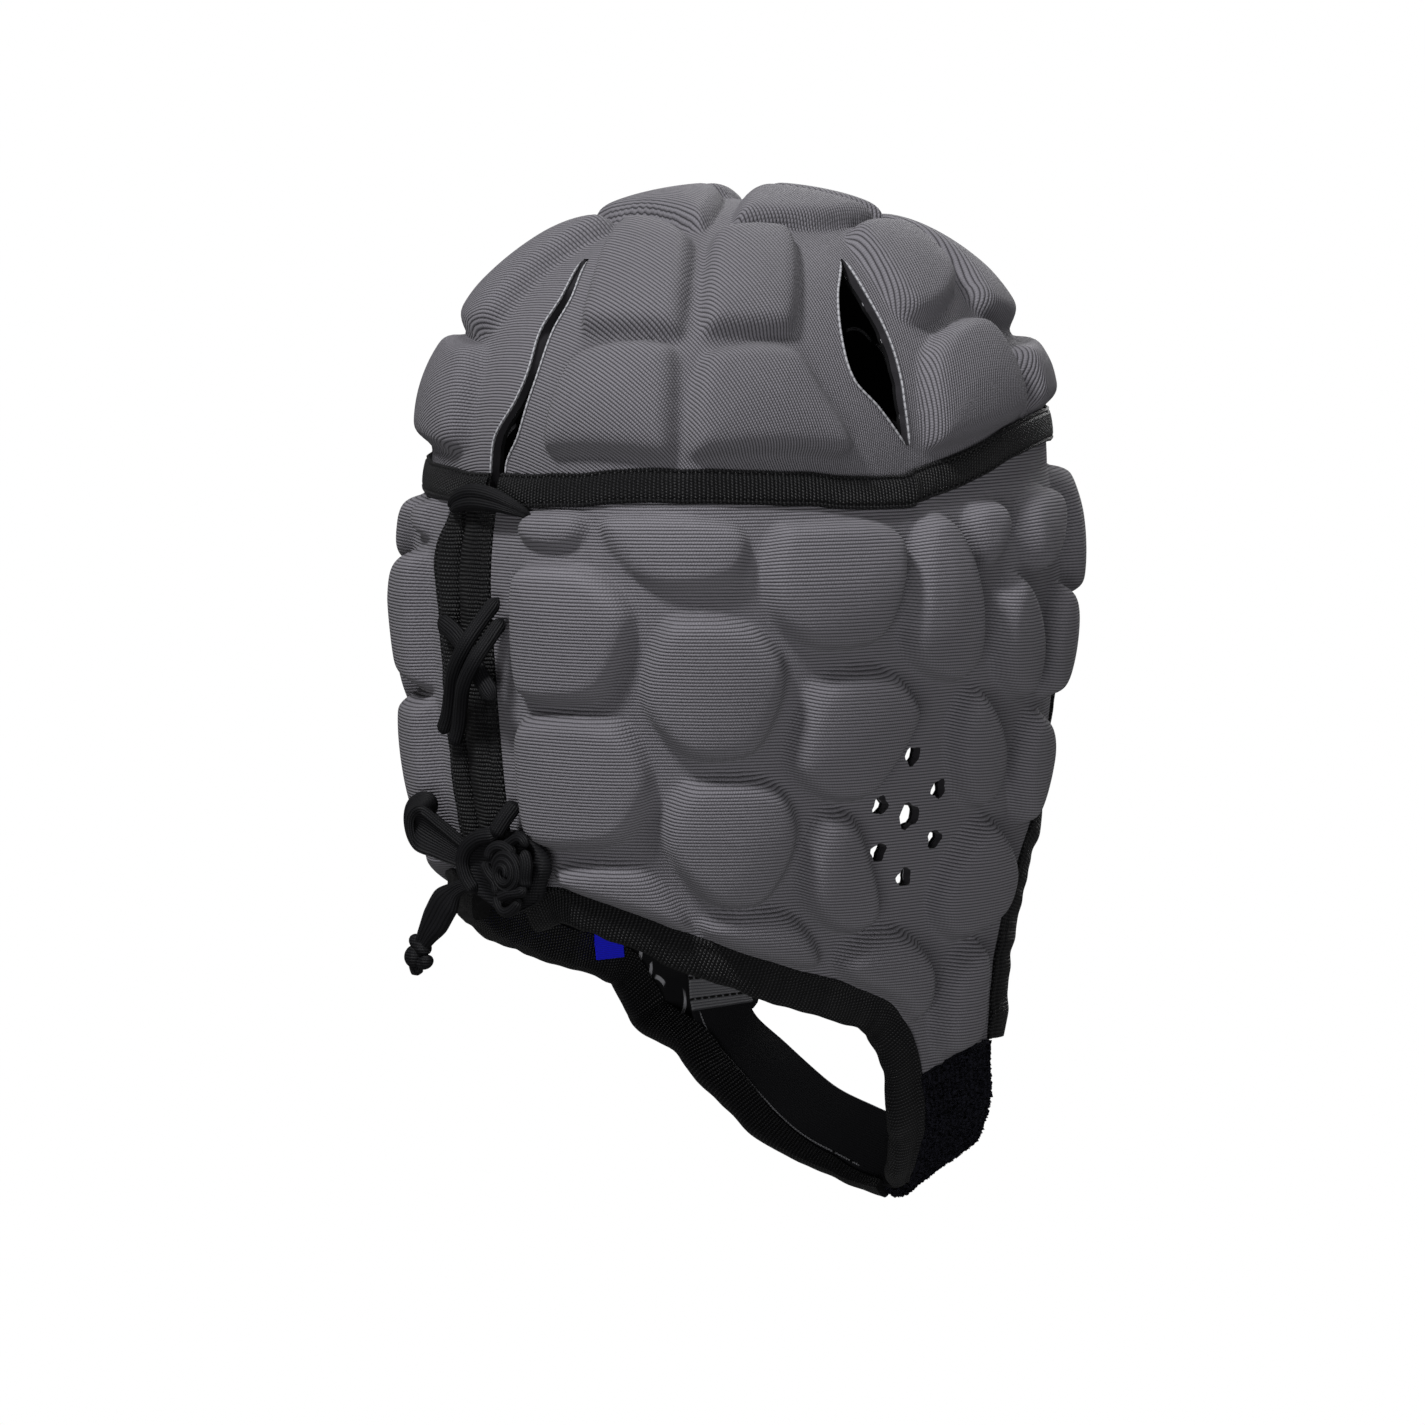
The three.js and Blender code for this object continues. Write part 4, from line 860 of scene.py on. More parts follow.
# Shallow folds below the tape and on the ear tab
panelCreases = rowsOf(
    "middle run width lean lift",
    ((106, -84.5), 14, 1.3, -3, 0.9),
    ((128, -83.5), 12, 1.2, 6, 0.8),
    ((150, -82.0), 9, 1.4, 38, 1.0),
    ((158, -79.5), 8, 1.3, 30, 0.8),
    ((70, -82.2), 16, 1.2, 2, 0.7),
    ((181, -228), 7, 0.8, 14, -0.7),
    ((182, -233), 6, 0.7, 10, -0.6),
    ((178, -239), 6, 0.8, -12, -0.5),
)


def rearEdge(side, down):  # millimetres from the centre back
    return 5 + 12 * down if side > 0 else 20 - 6 * down


def panelShare(side, along, down):
    start = rearEdge(side, down) / halfGirth
    return side * (start + along * (1 - 0.0006 - start))


def panelSpot(side, u, v):
    at = np.clip(u, 0, 1) * panelCount
    top, low, deep = (through(panelColumns, "at", key, at) for key in ("top", "low", "down"))
    share = panelShare(side, top + (low - top) * v**1.2, deep * v)
    topZ = tapeLine(share) - wall["seam"]
    return share, topZ + (-capShape["drop"] - deep * capShape["depth"] - topZ) * v


def panelPoint(side, u, v, out=0.0):
    share, z = panelSpot(side, np.asarray(u, float), np.asarray(v, float))
    return onWall(share, z, out)


def panelFences(side):
    def line(start, stop, v):
        return panelPoint(side, np.linspace(start, stop, 90), np.full(90, float(v)))[0]

    down = np.linspace(0, 1, 50)
    return [
        (line(0, 1, 0), panelCloth["tapeMargin"]),
        (line(0, tabRear / panelCount, 1), panelCloth["lowerMargin"]),
        (line(tabRear / panelCount, tabFront / panelCount, 1), panelCloth["tabMargin"]),
        (line(tabFront / panelCount, 1, 1), panelCloth["faceMargin"]),
        (panelPoint(side, np.zeros(50), down)[0], panelCloth["rearMargin"]),
        (panelPoint(side, np.ones(50), down)[0], panelCloth["frontMargin"]),
    ]


# Ear holes: aft, up and width of each; out and length are in metres
earHoles = {"z": -174.0, "y": -3.5, "spread": 18.0, "radius": 2.8, "out": 0.072, "length": 0.04,
    "spots": [(0, 0, 1.35), (0.1, 1, 1), (-0.58, 0.4, 1), (0.64, 0.22, 1), (-0.64, -0.44, 1), (0.55, -0.56, 1),
    (-0.08, -1.03, 1)]}


def earCutter(side, number, spot):
    aft, up, wide = spot
    bm = bmesh.new()
    radius = earHoles["radius"] * wide * metre
    bmesh.ops.create_cone(bm, cap_ends=True, segments=18, radius1=radius, radius2=radius,
        depth=earHoles["length"])
    for vert in bm.verts:  # a punched hole's uneven rim
        angle = math.atan2(vert.co.y, vert.co.x)
        vert.co.xy *= 1 + 0.12 * math.sin(3 * angle + number * 1.7) + 0.09 * math.sin(5 * angle + number)
    bmesh.ops.rotate(bm, verts=bm.verts, matrix=Matrix.Rotation(math.pi / 2, 3, "Y"))
    y, z = earHoles["y"] + aft * earHoles["spread"], earHoles["z"] + up * earHoles["spread"]
    bmesh.ops.translate(bm, verts=bm.verts, vec=(-side * earHoles["out"], y * metre, z * metre))
    bmesh.ops.recalc_face_normals(bm, faces=bm.faces)
    piece = toObject(bm, f"earCutter{number}")
    piece.data.materials.append(materials["cutFoam"])
    return piece


sideNames = {1: "Right", -1: "Left"}
for side, word in sideNames.items():
    fences = panelFences(side)

    def lay(flat):
        return onWall(side * flat[:, 0] / halfGirth, flat[:, 1])[0]

    def panelSheets(u, v):
        share, z = panelSpot(side, u, v)
        base, normal = onWall(share, z)
        flat = np.stack([share * side * halfGirth, z], 1)
        rise = outlineRise(flat, base, lay, padOutlines, fences, panelCloth["padRise"])
        rise += creases(flat, panelCreases)
        rise = eased(rise, u, v, panelCloth)
        cloth = np.stack([share * halfGirth, z], 1) * metre
        return base + normal * rise[:, None], base - normal * wall["shell"], cloth

    def liningSheets(u, v):
        share, z = panelSpot(side, u, v)
        return (*liningLayers(*onWall(share, z)), np.stack([share * halfGirth, z], 1) * metre)

    knit = slab(f"sideKnit{word}", panelCloth["columns"], panelCloth["rows"], panelSheets)
    inside = slab(f"sideLiningCloth{word}", 120, 60, liningSheets)
    knit.data.materials.append(materials["knit"])
    inside.data.materials.append(materials["lining"])
    cutters = [earCutter(side, number, spot) for number, spot in enumerate(earHoles["spots"])]
    cut(knit, cutters)
    cut(inside, cutters)
    drop(cutters)
    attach(knit, "root")
    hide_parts(f"side_panel_{word.lower()}")
    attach(inside, "root")
    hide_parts(f"side_lining_{word.lower()}")
    print("side panel made", word, len(knit.data.polygons))

# Tape over the seam, open at the centre back
bandTape = {"width": 9.6, "out": 0.95, "stations": 420, "start": 0.023, "run": 1.981, "foldAt": 0.497,
    "foldRun": 2.2, "foldLift": 0.9, "seat": 0.8, "wave": 0.35, "waveRun": 46, "sag": 0.9, "sagRun": 14}
stationShares = bandTape["start"] + bandTape["run"] * np.linspace(0, 1, bandTape["stations"])
bandShares = np.where(stationShares > 1, stationShares - 2, stationShares)
bandZ = tapeLine(bandShares) + bandTape["wave"] * wave(stationShares * halfGirth, bandTape["waveRun"])
fromFold = stationShares - bandTape["foldAt"]
fold = np.exp(-((fromFold * halfGirth / bandTape["foldRun"]) ** 2))
bandZ = bandZ - bandTape["sag"] * (fromFold < 0) * np.exp(-np.abs(fromFold) * halfGirth / bandTape["sagRun"])
half = bandTape["width"] / 2
low = onWall(bandShares, bandZ - half, bandTape["out"])[0]
high = onWall(bandShares, bandZ + half, bandTape["out"])[0]
middle, middleNormal = onWall(bandShares, bandZ, bandTape["seat"] + bandTape["foldLift"] * fold)
bandProfile = np.array([(-half, 0.1), (-half - 0.1, 0.7), (-half + 0.5, 1.35), (-half + 1.1, 1.05),
    (-half + 1.7, 1.5), (-1.6, 1.65), (0, 1.7), (1.6, 1.65), (half - 1.7, 1.5), (half - 1.1, 1.05),
    (half - 0.5, 1.35), (half + 0.1, 0.7), (half, 0.1), (0, -0.05)])
tapeSeam = sweep("seamTape", middle, unit(high - low), unit(middleNormal), bandProfile)
dress(tapeSeam, "tape", "crown_band")
print("seam tape made")

# Chin strap's loop: sideways, ahead and drop as shares, roll in degrees
strap = {"width": 26.0, "wall": 2.4, "top": -253.4, "drop": 40.0}
strapLoop = rowsOf(
    "side ahead drop roll wide",
    (-0.748, 0.355, 0.0, 7, 1.12),
    (-0.7, 0.4, 0.32, 6, 1.06),
    (-0.594, 0.43, 0.66, 10, 1.0),
    (-0.439, 0.484, 0.85, 30, 0.98),
    (-0.258, 0.505, 0.85, 48, 0.94),
    (-0.05, 0.473, 0.75, 53, 0.88),
    (0.155, 0.42, 0.6, 50, 0.86),
    (0.426, 0.366, 0.25, 26, 0.88),
    (0.57, 0.335, 0.03, 18, 0.86),
    (0.655, 0.335, -0.2, 12, 0.86),
    (0.69, 0.34, -0.45, 6, 0.86),
)
for number, row in enumerate(strapLoop):
    row["at"] = number
strapPoints = [(row["side"] * capShape["halfWidth"], -row["ahead"] * capShape["reach"],
    strap["top"] - row["drop"] * strap["drop"]) for row in strapLoop]


def strapFrames(at):
    at = np.atleast_1d(np.asarray(at, float))
    p = bend(strapPoints, at)
    along = unit(bend(strapPoints, np.minimum(at + 0.02, 10)) - bend(strapPoints, np.maximum(at - 0.02, 0)))
    roll = np.radians(through(strapLoop, "at", "roll", at))
    w = np.stack([np.zeros(len(at)), -np.cos(roll), np.sin(roll)], 1)
    w = unit(w - along * (w * along).sum(1, keepdims=True))
    n = np.cross(w, along)
    away = (n * (p - np.array([0, -0.36 * capShape["reach"], strap["top"] + 12]))).sum(1, keepdims=True)
    return p, w, np.where(away < 0, -n, n), through(strapLoop, "at", "wide", at)


def flatLoop(half, lowest, highest, sides):  # flat strip with rolled edges
    across = np.linspace(-half, half, sides)
    thick = (highest - lowest) / 2
    top = [(x, highest) for x in across]
    bottom = [(x, lowest) for x in across[::-1]]
    middle = (highest + lowest) / 2
    return np.array([(-half - thick * 0.55, middle)] + top + [(half + thick * 0.55, middle)] + bottom)


def strip(name, form):  # start and stop are stations of the strap's loop, low and high its two faces
    p, w, n, wide = strapFrames(np.linspace(form["start"], form["stop"], form["stations"]))
    loop = flatLoop(strap["width"] / 2 - form["inset"], form["low"], form["high"], form["sides"])
    return sweep(name, p, w, n, loop[None] * np.stack([wide, np.ones(len(p))], 1)[:, None])


pileForm = {"start": -0.32, "stop": 4.5, "stations": 420, "inset": 1.0, "low": 0.4, "high": 0.4 + strap["wall"],
    "sides": 44, "tuft": 0.00032}
pileStrip = strip("chinStrapPile", pileForm)
tufts = np.random.default_rng(7)
pushes = tufts.normal(0, pileForm["tuft"], (len(pileStrip.data.vertices), 3))
for vert, push in zip(pileStrip.data.vertices, pushes):
    vert.co += Vector(push)
dress(pileStrip, "pile", "chin_strap_right")
smoothForm = {"start": 2.25, "stop": 9.75, "stations": 200, "inset": 1.2, "low": -1.9, "high": -0.3,
    "sides": 14}
dress(strip("chinStrapSmooth", smoothForm), "webbing", "chin_strap_left")
edgingForm = {"start": 4.6, "stop": 8.6, "stations": 160, "inset": 3.6, "under": 2.0, "across": 0.28,
    "thick": 0.2}
p, w, n, wide = strapFrames(np.linspace(edgingForm["start"], edgingForm["stop"], edgingForm["stations"]))
edgingRun = p - w * (strap["width"] / 2 - edgingForm["inset"]) * wide[:, None] - n * edgingForm["under"]
edgingLoop = oblong(8, edgingForm["across"], edgingForm["thick"])
dress(sweep("strapEdging", edgingRun, w, n, edgingLoop, ends="round"), "patch")
patchForm = {"start": 8.625, "stop": 9.75, "stations": 30, "inset": 0.4, "low": -3.4, "high": -2.2, "sides": 10}
dress(strip("strapAnchorPatch", patchForm), "patch", "strap_anchor_patch")
print("chin strap made")

# Bindings folded over the free edges
strapTails = {
    1: [(0.7, 1), (1.2, 0.9), (1.75, 0.7), (2.3, 0.5)],
    -1: [(2.0, 1), (2.6, 1), (3.2, 0.9), (3.8, 0.7), (4.4, 0.5), (5.0, 0.4), (5.6, 0.32), (6.2, 0.26)],
}
hemWaves = {"width": 0.07, "widthRun": 27, "lift": 0.4, "liftRun": 21, "shift": 0.5, "shiftRun": 33,
    "inward": 0.25}
hemProfile = np.array([(-1.8, 0.3), (-1.5, 0.9), (-0.6, 1.15), (0.4, 0.8), (1.2, 0.75), (2.2, 1.05), (4.5, 1.1),
    (6.8, 0.95), (8.6, 0.6), (9.7, -0.3), (10.1, -1.8), (9.9, -3.4), (9.0, -4.6), (6.5, -5.0), (3.0, -5.1),
    (0.0, -5.3), (-1.6, -5.4), (-1.8, -4.6)])


def edgeFrames(side, u):
    p, n = panelPoint(side, u, 1)
    ahead, behind = np.minimum(u + 0.004, 1), np.maximum(u - 0.004, 0)
    w = unit(np.cross(unit(panelPoint(side, ahead, 1)[0] - panelPoint(side, behind, 1)[0]), n))
    inward = p - panelPoint(side, u, 0.96)[0]
    return p, np.where((w * inward).sum(1, keepdims=True) < 0, -w, w), n


def refine(p, w, n, wide, count):  # finer stations through the named ones
    at = np.linspace(0, len(p) - 1, count)
    p, w, n = bend(p, at), unit(bend(w, at)), unit(bend(n, at))
    along = unit(np.gradient(p, axis=0))
    w = unit(w - along * (w * along).sum(1, keepdims=True))
    n = unit(n - along * (n * along).sum(1, keepdims=True) - w * (n * w).sum(1, keepdims=True))
    return p, w, n, np.interp(at, np.arange(len(wide)), wide)


def hem(name, node, p, w, n, wide, wavy, seed):
    run = runs(p)
    width = wide * (1 + wavy * hemWaves["width"] * wave(run, hemWaves["widthRun"], seed))
    profile = hemProfile[None] * np.stack([width, np.ones(len(p))], 1)[:, None]
    lift = hemWaves["lift"] * wavy * wave(run, hemWaves["liftRun"], seed + 1)
    shift = hemWaves["shift"] * wavy * wave(run, hemWaves["shiftRun"], seed + 2) - hemWaves["inward"] * wavy
    p = p + n * lift[:, None] + w * shift[:, None]
    dress(sweep(name, p, w, n, profile), "tape", node)


for side, word in sideNames.items():
    u = np.linspace(0, (tabRear - 0.5) / panelCount, 22)
    p, w, n = edgeFrames(side, u)
    tail = strapTails[side]
    places = np.array([row[0] if side > 0 else 10 - row[0] for row in tail])
    sp, sw, sn, swide = strapFrames(places)
    sp = sp + sw * (-(strap["width"] / 2) * swide + (-1 if side > 0 else 0.8))[:, None] + sn * 2.2
    p, w, n = np.vstack([p, sp]), np.vstack([w, -sw]), np.vstack([n, sn])
    wide = np.concatenate([np.ones(len(u)), [row[1] for row in tail]])
    hem(f"lowerBinding{word}", f"lower_binding_{word.lower()}", *refine(p, w, n, wide, 320), 0.5, side)
    u = np.linspace((tabFront + 0.25) / panelCount, 1, 40)
    p, w, n = edgeFrames(side, u)
    p[-1, 0] = -side * 0.25
    w[-1, 0], n[-1, 0] = 0, 0
    w, n = unit(w), unit(n)
    hem(f"faceBinding{word}", f"face_binding_{word.lower()}", *refine(p, w, n, np.ones(40), 300), 1.0, side + 4)
print("bindings made")

# Bound edges of the split at the back
laceEdge = {"top": -84.4, "depth": 108.0, "bulge": 3.6, "bulgeAt": 100, "bulgeRun": 9, "pinch": 3.2,
    "pinchAt": 84, "pinchRun": 7, "uneven": 0.5, "unevenRun": 31, "ripple": 0.12, "rippleRun": 24}
laceMeet = rowsOf(
    "down left",
    (0.0, 9.4),
    (0.2, 8.0),
    (0.55, 8.2),
    (0.75, 6.6),
    (1.0, 3.6),
)
# Across from the outer to the inner edge, and out from the knit; the back face is level
laceEdgeBack = -4.0
laceEdgeProfile = [(0, 0.2), (0.04, 1.2), (0.12, 1.7), (0.2, 1.3), (0.26, 1.5), (0.34, 2.2), (0.5, 2.6),
    (0.66, 2.4), (0.8, 2.0), (0.9, 1.6), (0.97, 0.9), (1.0, -0.2), (1.0, laceEdgeBack), (0.5, laceEdgeBack),
    (0.0, laceEdgeBack)]
for side, word in sideNames.items():
    share = np.linspace(0, 1, 180)
    run = share * laceEdge["depth"]
    z = laceEdge["top"] - run
    outer = -side * (rearEdge(side, (-capShape["drop"] - z) / capShape["depth"]) - 0.45)
    if side < 0:
        outer = outer + laceEdge["bulge"] * np.exp(-(((z + laceEdge["bulgeAt"]) / laceEdge["bulgeRun"]) ** 2))
        outer = outer - laceEdge["pinch"] * np.exp(-(((z + laceEdge["pinchAt"]) / laceEdge["pinchRun"]) ** 2))
    inner = through(laceMeet, "down", "left", share) - side * 0.3
    inner = inner - side * laceEdge["uneven"] * (1 + wave(run, laceEdge["unevenRun"], side))
    loops = []
    for mix, rise in laceEdgeProfile:
        out = rise
        if rise != laceEdgeBack:
            out = rise * (1 + laceEdge["ripple"] * wave(run, laceEdge["rippleRun"], mix + side))
        loops.append(onWall(-(outer + (inner - outer) * mix) / halfGirth, z, out)[0])
    loops = np.array(loops).transpose(1, 0, 2)
    centre = loops.mean(1)
    across, outward = np.zeros_like(centre), np.zeros_like(centre)
    across[:, 0], outward[:, 1] = 1, 1
    profile = np.stack([loops[..., 0] - centre[:, None, 0], loops[..., 1] - centre[:, None, 1]], -1)
    piece = sweep(f"laceBinding{word}", centre, across, outward, profile)
    dress(piece, "tape", f"lace_edge_{word.lower()}")

# Laces: millimetres left of the centre, behind the knit, and height
laceBack = 98.5
laceWay = (-0.3, 0.95, 0.0)
laceRuns = {
    "lace_over_upper": {"across": 2.25, "thick": 1.9,
        "points": [(-15.5, 3.6, -108.5), (-12.5, 7.5, -115), (-9.5, 11.1, -122), (-4, 10.9, -129),
        (2.5, 7.5, -136.5), (7, 5.4, -144), (10.5, 5.0, -149.8)]},
    "lace_over_lower": {"across": 2.25, "thick": 1.9,
        "points": [(-17.6, 3.6, -114.4), (-16.8, 7.5, -119.4), (-14.3, 11.1, -125.8), (-8.7, 10.9, -132.8),
        (-2.3, 7.5, -140.2), (1.7, 5.4, -146.8), (4.9, 5.0, -152.8)]},
    "lace_under": {"across": 3.0, "thick": 1.4,
        "points": [(12, 5, -116.5), (4, 5, -120), (-1, 5.4, -123.2), (-7, 6.6, -127), (-12.4, 7.6, -131.5),
        (-18.6, 7.6, -137.4)]},
    "lace_stub": {"across": 2.5, "thick": 2.2,
        "points": [(-17.4, -1.2, -167.5), (-15.6, 1.3, -171.5), (-12.5, 3.7, -177.5)]},
}


def laceName(node):
    head, *rest = node.split("_")
    return head + "".join(part.capitalize() for part in rest)


def runPoints(rows):
    return np.array([(left, laceBack + behind, up) for left, behind, up in rows], float)


for node, run in laceRuns.items():
    count = len(run["points"]) * 10
    places, across, outward = frames(runPoints(run["points"]), laceWay, count)
    piece = sweep(laceName(node), places, across, outward, oblong(20, run["across"], run["thick"]),
        ends="round")
    dress(piece, "lace", node)

tailKnot = rowsOf(
    "left behind up size tilt",
    (21.4, 5.2, -212.6, (4.4, 3.0, 2.3), 0.5),
    (23.6, 5.6, -216.4, (3.1, 3.2, 3.6), 0.2),
    (19.4, 5.0, -217.6, (3.0, 2.4, 2.1), -0.5),
)


def mapFromBehind(bm):
    layer = bm.loops.layers.uv.new("cloth")
    for face in bm.faces:
        for loop in face.loops:
            loop[layer].uv = (loop.vert.co.x, loop.vert.co.z)


def lump(name, row):  # one rounded turn of a knot
    bm = bmesh.new()
    bmesh.ops.create_uvsphere(bm, u_segments=28, v_segments=18, radius=1)
    wide, deep, tall = row["size"]
    for vert in bm.verts:
        x, y, z = vert.co
        pinch = 1 - 0.22 * math.exp(-((x / 0.3) ** 2)) * (y > 0)
        x, z = turned(x * wide, z * tall, math.degrees(row["tilt"]))
        vert.co = ((x + row["left"]) * metre, (y * deep * pinch + laceBack + row["behind"]) * metre,
            (z + row["up"]) * metre)
    mapFromBehind(bm)
    piece = toObject(bm, name)
    dress(piece, "lace")
    return piece


# Tied runs: left, behind and up as above, then half the width and half the thickness
tied = {
    "lace_top_bar": [(12, 0.1, -84.8, 1.6, 1.4), (6.5, 1.4, -82.2, 3.2, 2.6), (-1, 1.9, -80.6, 3.9, 3.1),
        (-9, 1.6, -80.9, 3.6, 3.0), (-16.5, 0.7, -82.4, 2.6, 2.2), (-23, -2.7, -85.2, 0.9, 0.9)],
    "lace_tail": [(-0.5, 3.4, -192.4, 1.9, 1.5), (4.4, 4.7, -194.8, 2.6, 1.8), (8.8, 5.4, -199, 4.9, 2.4),
        (13.4, 5.4, -204.5, 4.8, 2.4), (18.2, 5.2, -209.6, 3.3, 2.2), (21.2, 5.0, -213.4, 2.3, 2.2),
        (23.4, 5.0, -216.2, 2.2, 2.2), (23.8, 5.0, -219.4, 2.2, 2.0), (23.0, 5.0, -222, 1.6, 1.6)],
}
for node, rows in tied.items():
    table = np.array(rows, float)
    count = len(rows) * 12
    at = np.linspace(0, len(rows) - 1, count)
    places, across, outward = frames(runPoints(table[:, :3]), laceWay, count)
    sizes = bend(table[:, 3:5], at)
    loop = oblong(24, 1.0, 1.0)
    groove = 1 - 0.35 * np.exp(-((loop[:, 0] / 0.3) ** 2)) * (loop[:, 1] > 0)
    profile = np.stack([loop[None, :, 0] * sizes[:, :1], (loop[:, 1] * groove)[None] * sizes[:, 1:]], -1)
    piece = sweep(laceName(node), places, across, outward, profile, ends="round")
    dress(piece, "lace", node)
    if node == "lace_tail":
        lumps = [lump(f"laceTailKnot{number}", row) for number, row in enumerate(tailKnot)]

# Bow loop: left, behind and up, then the width of the lace
bow = [(0.3, 3.3, -182, 3.6), (7.5, 8.2, -175.4, 8), (12.4, 11.4, -171.6, 11), (15.4, 12.4, -173.6, 12),
    (16.4, 12.2, -178, 12), (14.8, 11.2, -182.4, 11), (9.4, 8.2, -184.6, 8), (2.2, 3.2, -187.6, 3.6)]
table = np.array(bow, float)
at = np.linspace(0, len(bow) - 1, 90)  # 90 stations
places = bend(runPoints(table[:, :3]), at)
width = bend(table[:, 3:4], at)[:, 0]
along = unit(np.gradient(places, axis=0))
lean = np.array([0.84, -0.54, 0.0])
across = unit(lean - along * (along @ lean)[:, None])
outward = np.cross(across, along)
ribbon = np.array([(-0.5, 0.0), (-0.46, 1.5), (-0.38, 1.5), (-0.3, 0.9), (0.0, 0.8), (0.3, 0.9), (0.38, 1.5),
    (0.46, 1.5), (0.5, 0.0), (0.46, -1.5), (0.38, -1.5), (0.3, -0.9), (0.0, -0.8), (-0.3, -0.9), (-0.38, -1.5),
    (-0.46, -1.5)])
profile = np.stack([(ribbon[None, :, 0] + 0.5) * width[:, None],
    np.broadcast_to(ribbon[:, 1] * 0.8, (len(places), len(ribbon)))], -1)
bowLoop = sweep("laceBowLoop", places, across, outward, profile)
dress(bowLoop, "lace", "lace_bow_loop")
upper, lower = (bend(runPoints(table[:, :3]), np.linspace(*ends, 29)) for ends in ((0.2, 3.4), (6.8, 3.6)))


def bowFaceSheets(u, v):  # the loop's inner side, hollowed away from the eye
    i = np.rint(u * 28).astype(int)
    hollow = np.sin(v * math.pi) * (1 + 2.2 * u)
    place = upper[i] + (lower[i] - upper[i]) * v[:, None] + np.array([0.5, -0.8, 0.0]) * hollow[:, None]
    cloth = np.stack([u * 0.02, v * 0.012], 1)
    return place, place + np.array([0.4, -0.6, 0.0]), cloth


bowFace = slab("laceBowFace", 28, 20, bowFaceSheets)
dress(bowFace, "lace")

knotForm = {"centre": (-13.0, 97.55, -187.4), "size": (17.5, 3.0, 12.0), "turn": 0.12}
bm = bmesh.new()
bmesh.ops.create_uvsphere(bm, u_segments=64, v_segments=32, radius=1)
for vert in bm.verts:
    x, y, z = vert.co
    rim = 1 + 0.05 * math.sin(3 * math.atan2(z, x) + 0.6) + 0.03 * math.sin(7 * math.atan2(z, x))
    fold = 0.25 * math.sin(9 * math.hypot(x, z) + 2 * math.atan2(z, x))
    wide, deep, tall = knotForm["size"]
    x, y, z = x * rim * wide, (math.copysign(abs(y) ** 0.6, y) + fold * (y > 0.2)) * deep, z * rim * tall
    cosine, sine = math.cos(knotForm["turn"]), math.sin(knotForm["turn"])
    x, y = x * cosine - y * sine, x * sine + y * cosine
    vert.co = [(value + middle) * metre for value, middle in zip((x, y, z), knotForm["centre"])]
mapFromBehind(bm)
knot = toObject(bm, "laceKnot")
dress(knot, "lace", "lace_knot")

# Collar: the turn of lace that holds the knot together
collarPoints = [(-13, 2.2, -177.0), (-6, 4.0, -178.4), (-0.6, 4.4, -182), (1.8, 4.0, -186.4), (0.8, 3.4, -191),
    (-2.4, 2.6, -195)]
places, across, outward = frames(runPoints(collarPoints), laceWay, 70)
collar = sweep("laceCollar", places, across, outward, oblong(20, 2.3, 2.0), ends="round")
dress(collar, "lace")

# Rosette: the lace wound on itself over the knot
rosetteForm = {"centre": (-19.0, 101.4, -187.4), "stations": 150, "rounds": 2.6, "radius": 6.6, "shrink": 5.0,
    "seat": 0.3, "lift": 1.6, "flat": 0.9}
turns = np.linspace(0, 1, rosetteForm["stations"])
angle = turns * rosetteForm["rounds"] * 2 * math.pi
radius = rosetteForm["radius"] - rosetteForm["shrink"] * turns
centre = np.array(rosetteForm["centre"])
deep = rosetteForm["seat"] + rosetteForm["lift"] * turns
spiral = centre + np.stack([radius * np.cos(angle), deep, radius * np.sin(angle) * rosetteForm["flat"]], 1)
places, across, outward = frames(spiral, laceWay, rosetteForm["stations"], curved=False)
rosette = sweep("laceRosette", places, across, outward, oblong(14, 1.25, 1.9), ends="round")
dress(rosette, "lace", "lace_rosette")
petals = rowsOf(
    "from sweep radius behind half",
    (20, 95, 8.6, 0.6, 1.7),
    (130, 80, 9.2, 0.2, 2.0),
    (205, 90, 8.2, 0.9, 1.6),
    (300, 75, 9.4, 0.1, 1.9),
    (70, 60, 11.6, -0.4, 1.5),
    (240, 70, 11.8, -0.5, 1.6),
)
petalSteps = np.linspace(0, 1, 32)
for number, petal in enumerate(petals):
    angle = np.radians(petal["from"] + petal["sweep"] * petalSteps)
    reach = petal["radius"] * (1 + 0.16 * np.sin(petalSteps * 5 + number))
    deep = petal["behind"] + 0.5 * np.sin(angle * 3)
    petalRun = centre + np.stack([reach * np.cos(angle), deep, reach * np.sin(angle) * 0.85], 1)
    places, across, outward = frames(petalRun, laceWay, len(petalSteps), curved=False)
    piece = sweep(f"lacePetal{number}", places, across, outward, oblong(14, petal["half"], 1.5), ends="round")
    dress(piece, "lace")
print("lacing made")

# Label inside the left ear tab
labelForm = {"share": -0.462, "span": 0.042, "top": -215, "tall": 16, "inward": 4.8, "thick": 5.6, "tilt": 0.4}


def labelSheets(u, v):
    base, normal = onWall(labelForm["share"] - labelForm["span"] * u, labelForm["top"] - labelForm["tall"] * v)
    near, far = (normal * (labelForm[key] + labelForm["tilt"] * v)[:, None] for key in ("inward", "thick"))
    return base - near, base - far, np.stack([u * 0.012, v * 0.016], 1)


label = slab("innerLabel", 12, 12, labelSheets)
dress(label, "label", "inner_label")

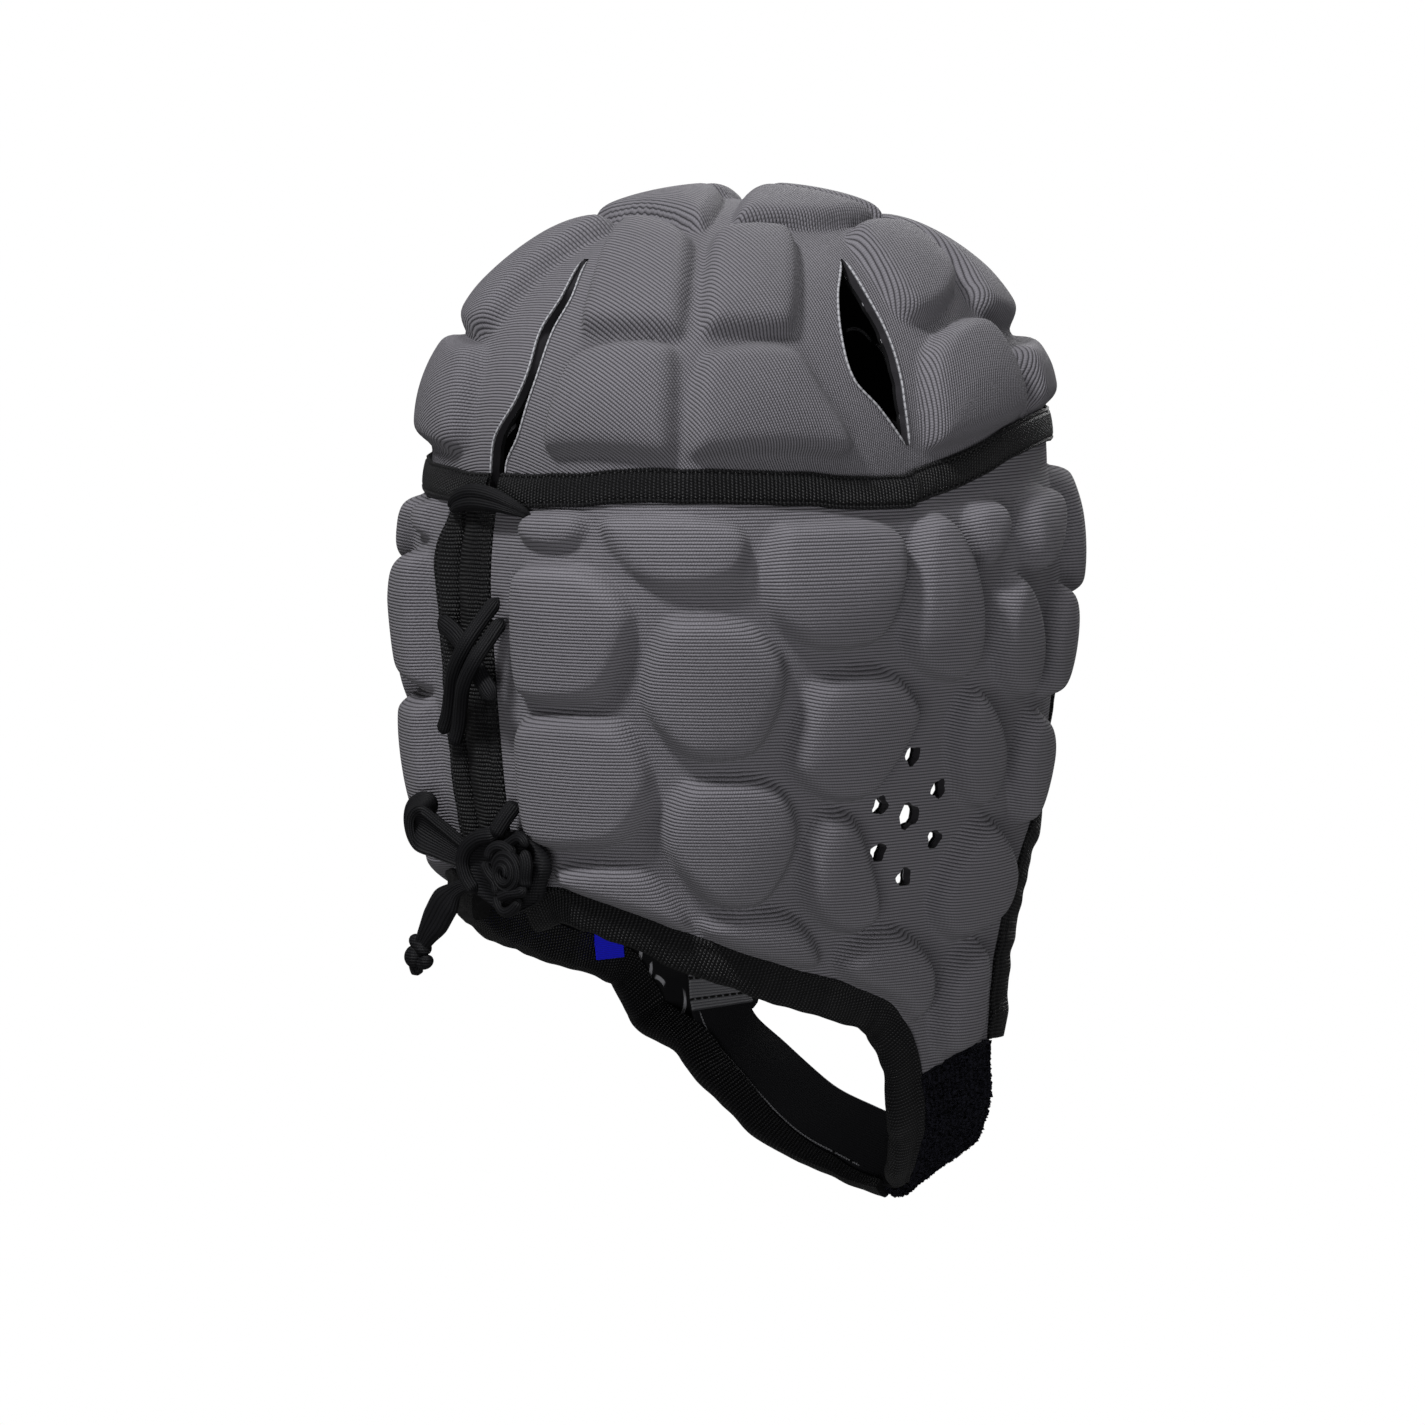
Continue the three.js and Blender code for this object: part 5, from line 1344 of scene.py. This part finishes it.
# Stitched pale edge round the slits
threadForm = {"radius": 0.42, "out": 0.15, "first": 0.01, "last": 1.19, "stations": 90}
for number, opening in enumerate(slits):
    lowest = min(opening["lips"][-1]["down"], threadForm["last"])
    downs = np.linspace(threadForm["first"], lowest, threadForm["stations"])
    for key in ("rear", "front"):
        p, n = lipPlaces(opening, key, downs, threadForm["out"])
        along = unit(np.gradient(p, axis=0))
        loop = oblong(8, threadForm["radius"], threadForm["radius"])
        dress(sweep(f"slitThread{number}{key.capitalize()}", p, np.cross(n, along), n, loop, ends="round"),
            "thread")
print("slit edging made")

# World and lamps: the cap hangs in the air before plain white
studio = {"sky": 0.12, "shown": 1.0}
world = bpy.data.worlds.new("studioSky")
bpy.context.scene.world = world
world.use_nodes = True
tree = world.node_tree
calc = partial(mathNode, tree)
back = tree.nodes["Background"]
back.inputs["Color"].default_value = (1, 1, 1, 1)
seen = tree.nodes.new("ShaderNodeLightPath").outputs["Is Camera Ray"]
level = calc("ADD", calc("MULTIPLY", seen, studio["shown"] - studio["sky"]), studio["sky"])
tree.links.new(level, back.inputs["Strength"])

lamps = {
    "keyLamp": {"side": -0.85, "near": 0.95, "up": 1.65, "size": 0.35, "power": 47.0},
    "topLamp": {"side": 0.2, "near": 0.2, "up": 1.9, "size": 0.7, "power": 12.0},
    "fillLamp": {"side": 1.4, "near": 1.1, "up": 0.2, "size": 1.0, "power": 8.0},
    "lowLamp": {"side": -0.3, "near": 1.7, "up": -0.3, "size": 0.8, "power": 13.0},
    "farLamp": {"side": 0.5, "near": -1.6, "up": 0.9, "size": 1.2, "power": 22.0},
}
target = Vector(viewpoint["target"])
flatBack = Vector((viewBack.x, viewBack.y, 0)).normalized()
rightWay = Vector((0, 0, 1)).cross(flatBack)
for name, lamp in lamps.items():
    data = bpy.data.lights.new(name, "AREA")
    data.shape, data.size, data.energy = "DISK", lamp["size"], lamp["power"]
    item = bpy.data.objects.new(name, data)
    item.location = target + rightWay * lamp["side"] + flatBack * lamp["near"] + Vector((0, 0, lamp["up"]))
    item.rotation_euler = (target - item.location).to_track_quat("-Z", "Y").to_euler()
    bpy.context.scene.collection.objects.link(item)
bpy.context.scene.view_settings.view_transform = "Standard"
print("studio made")
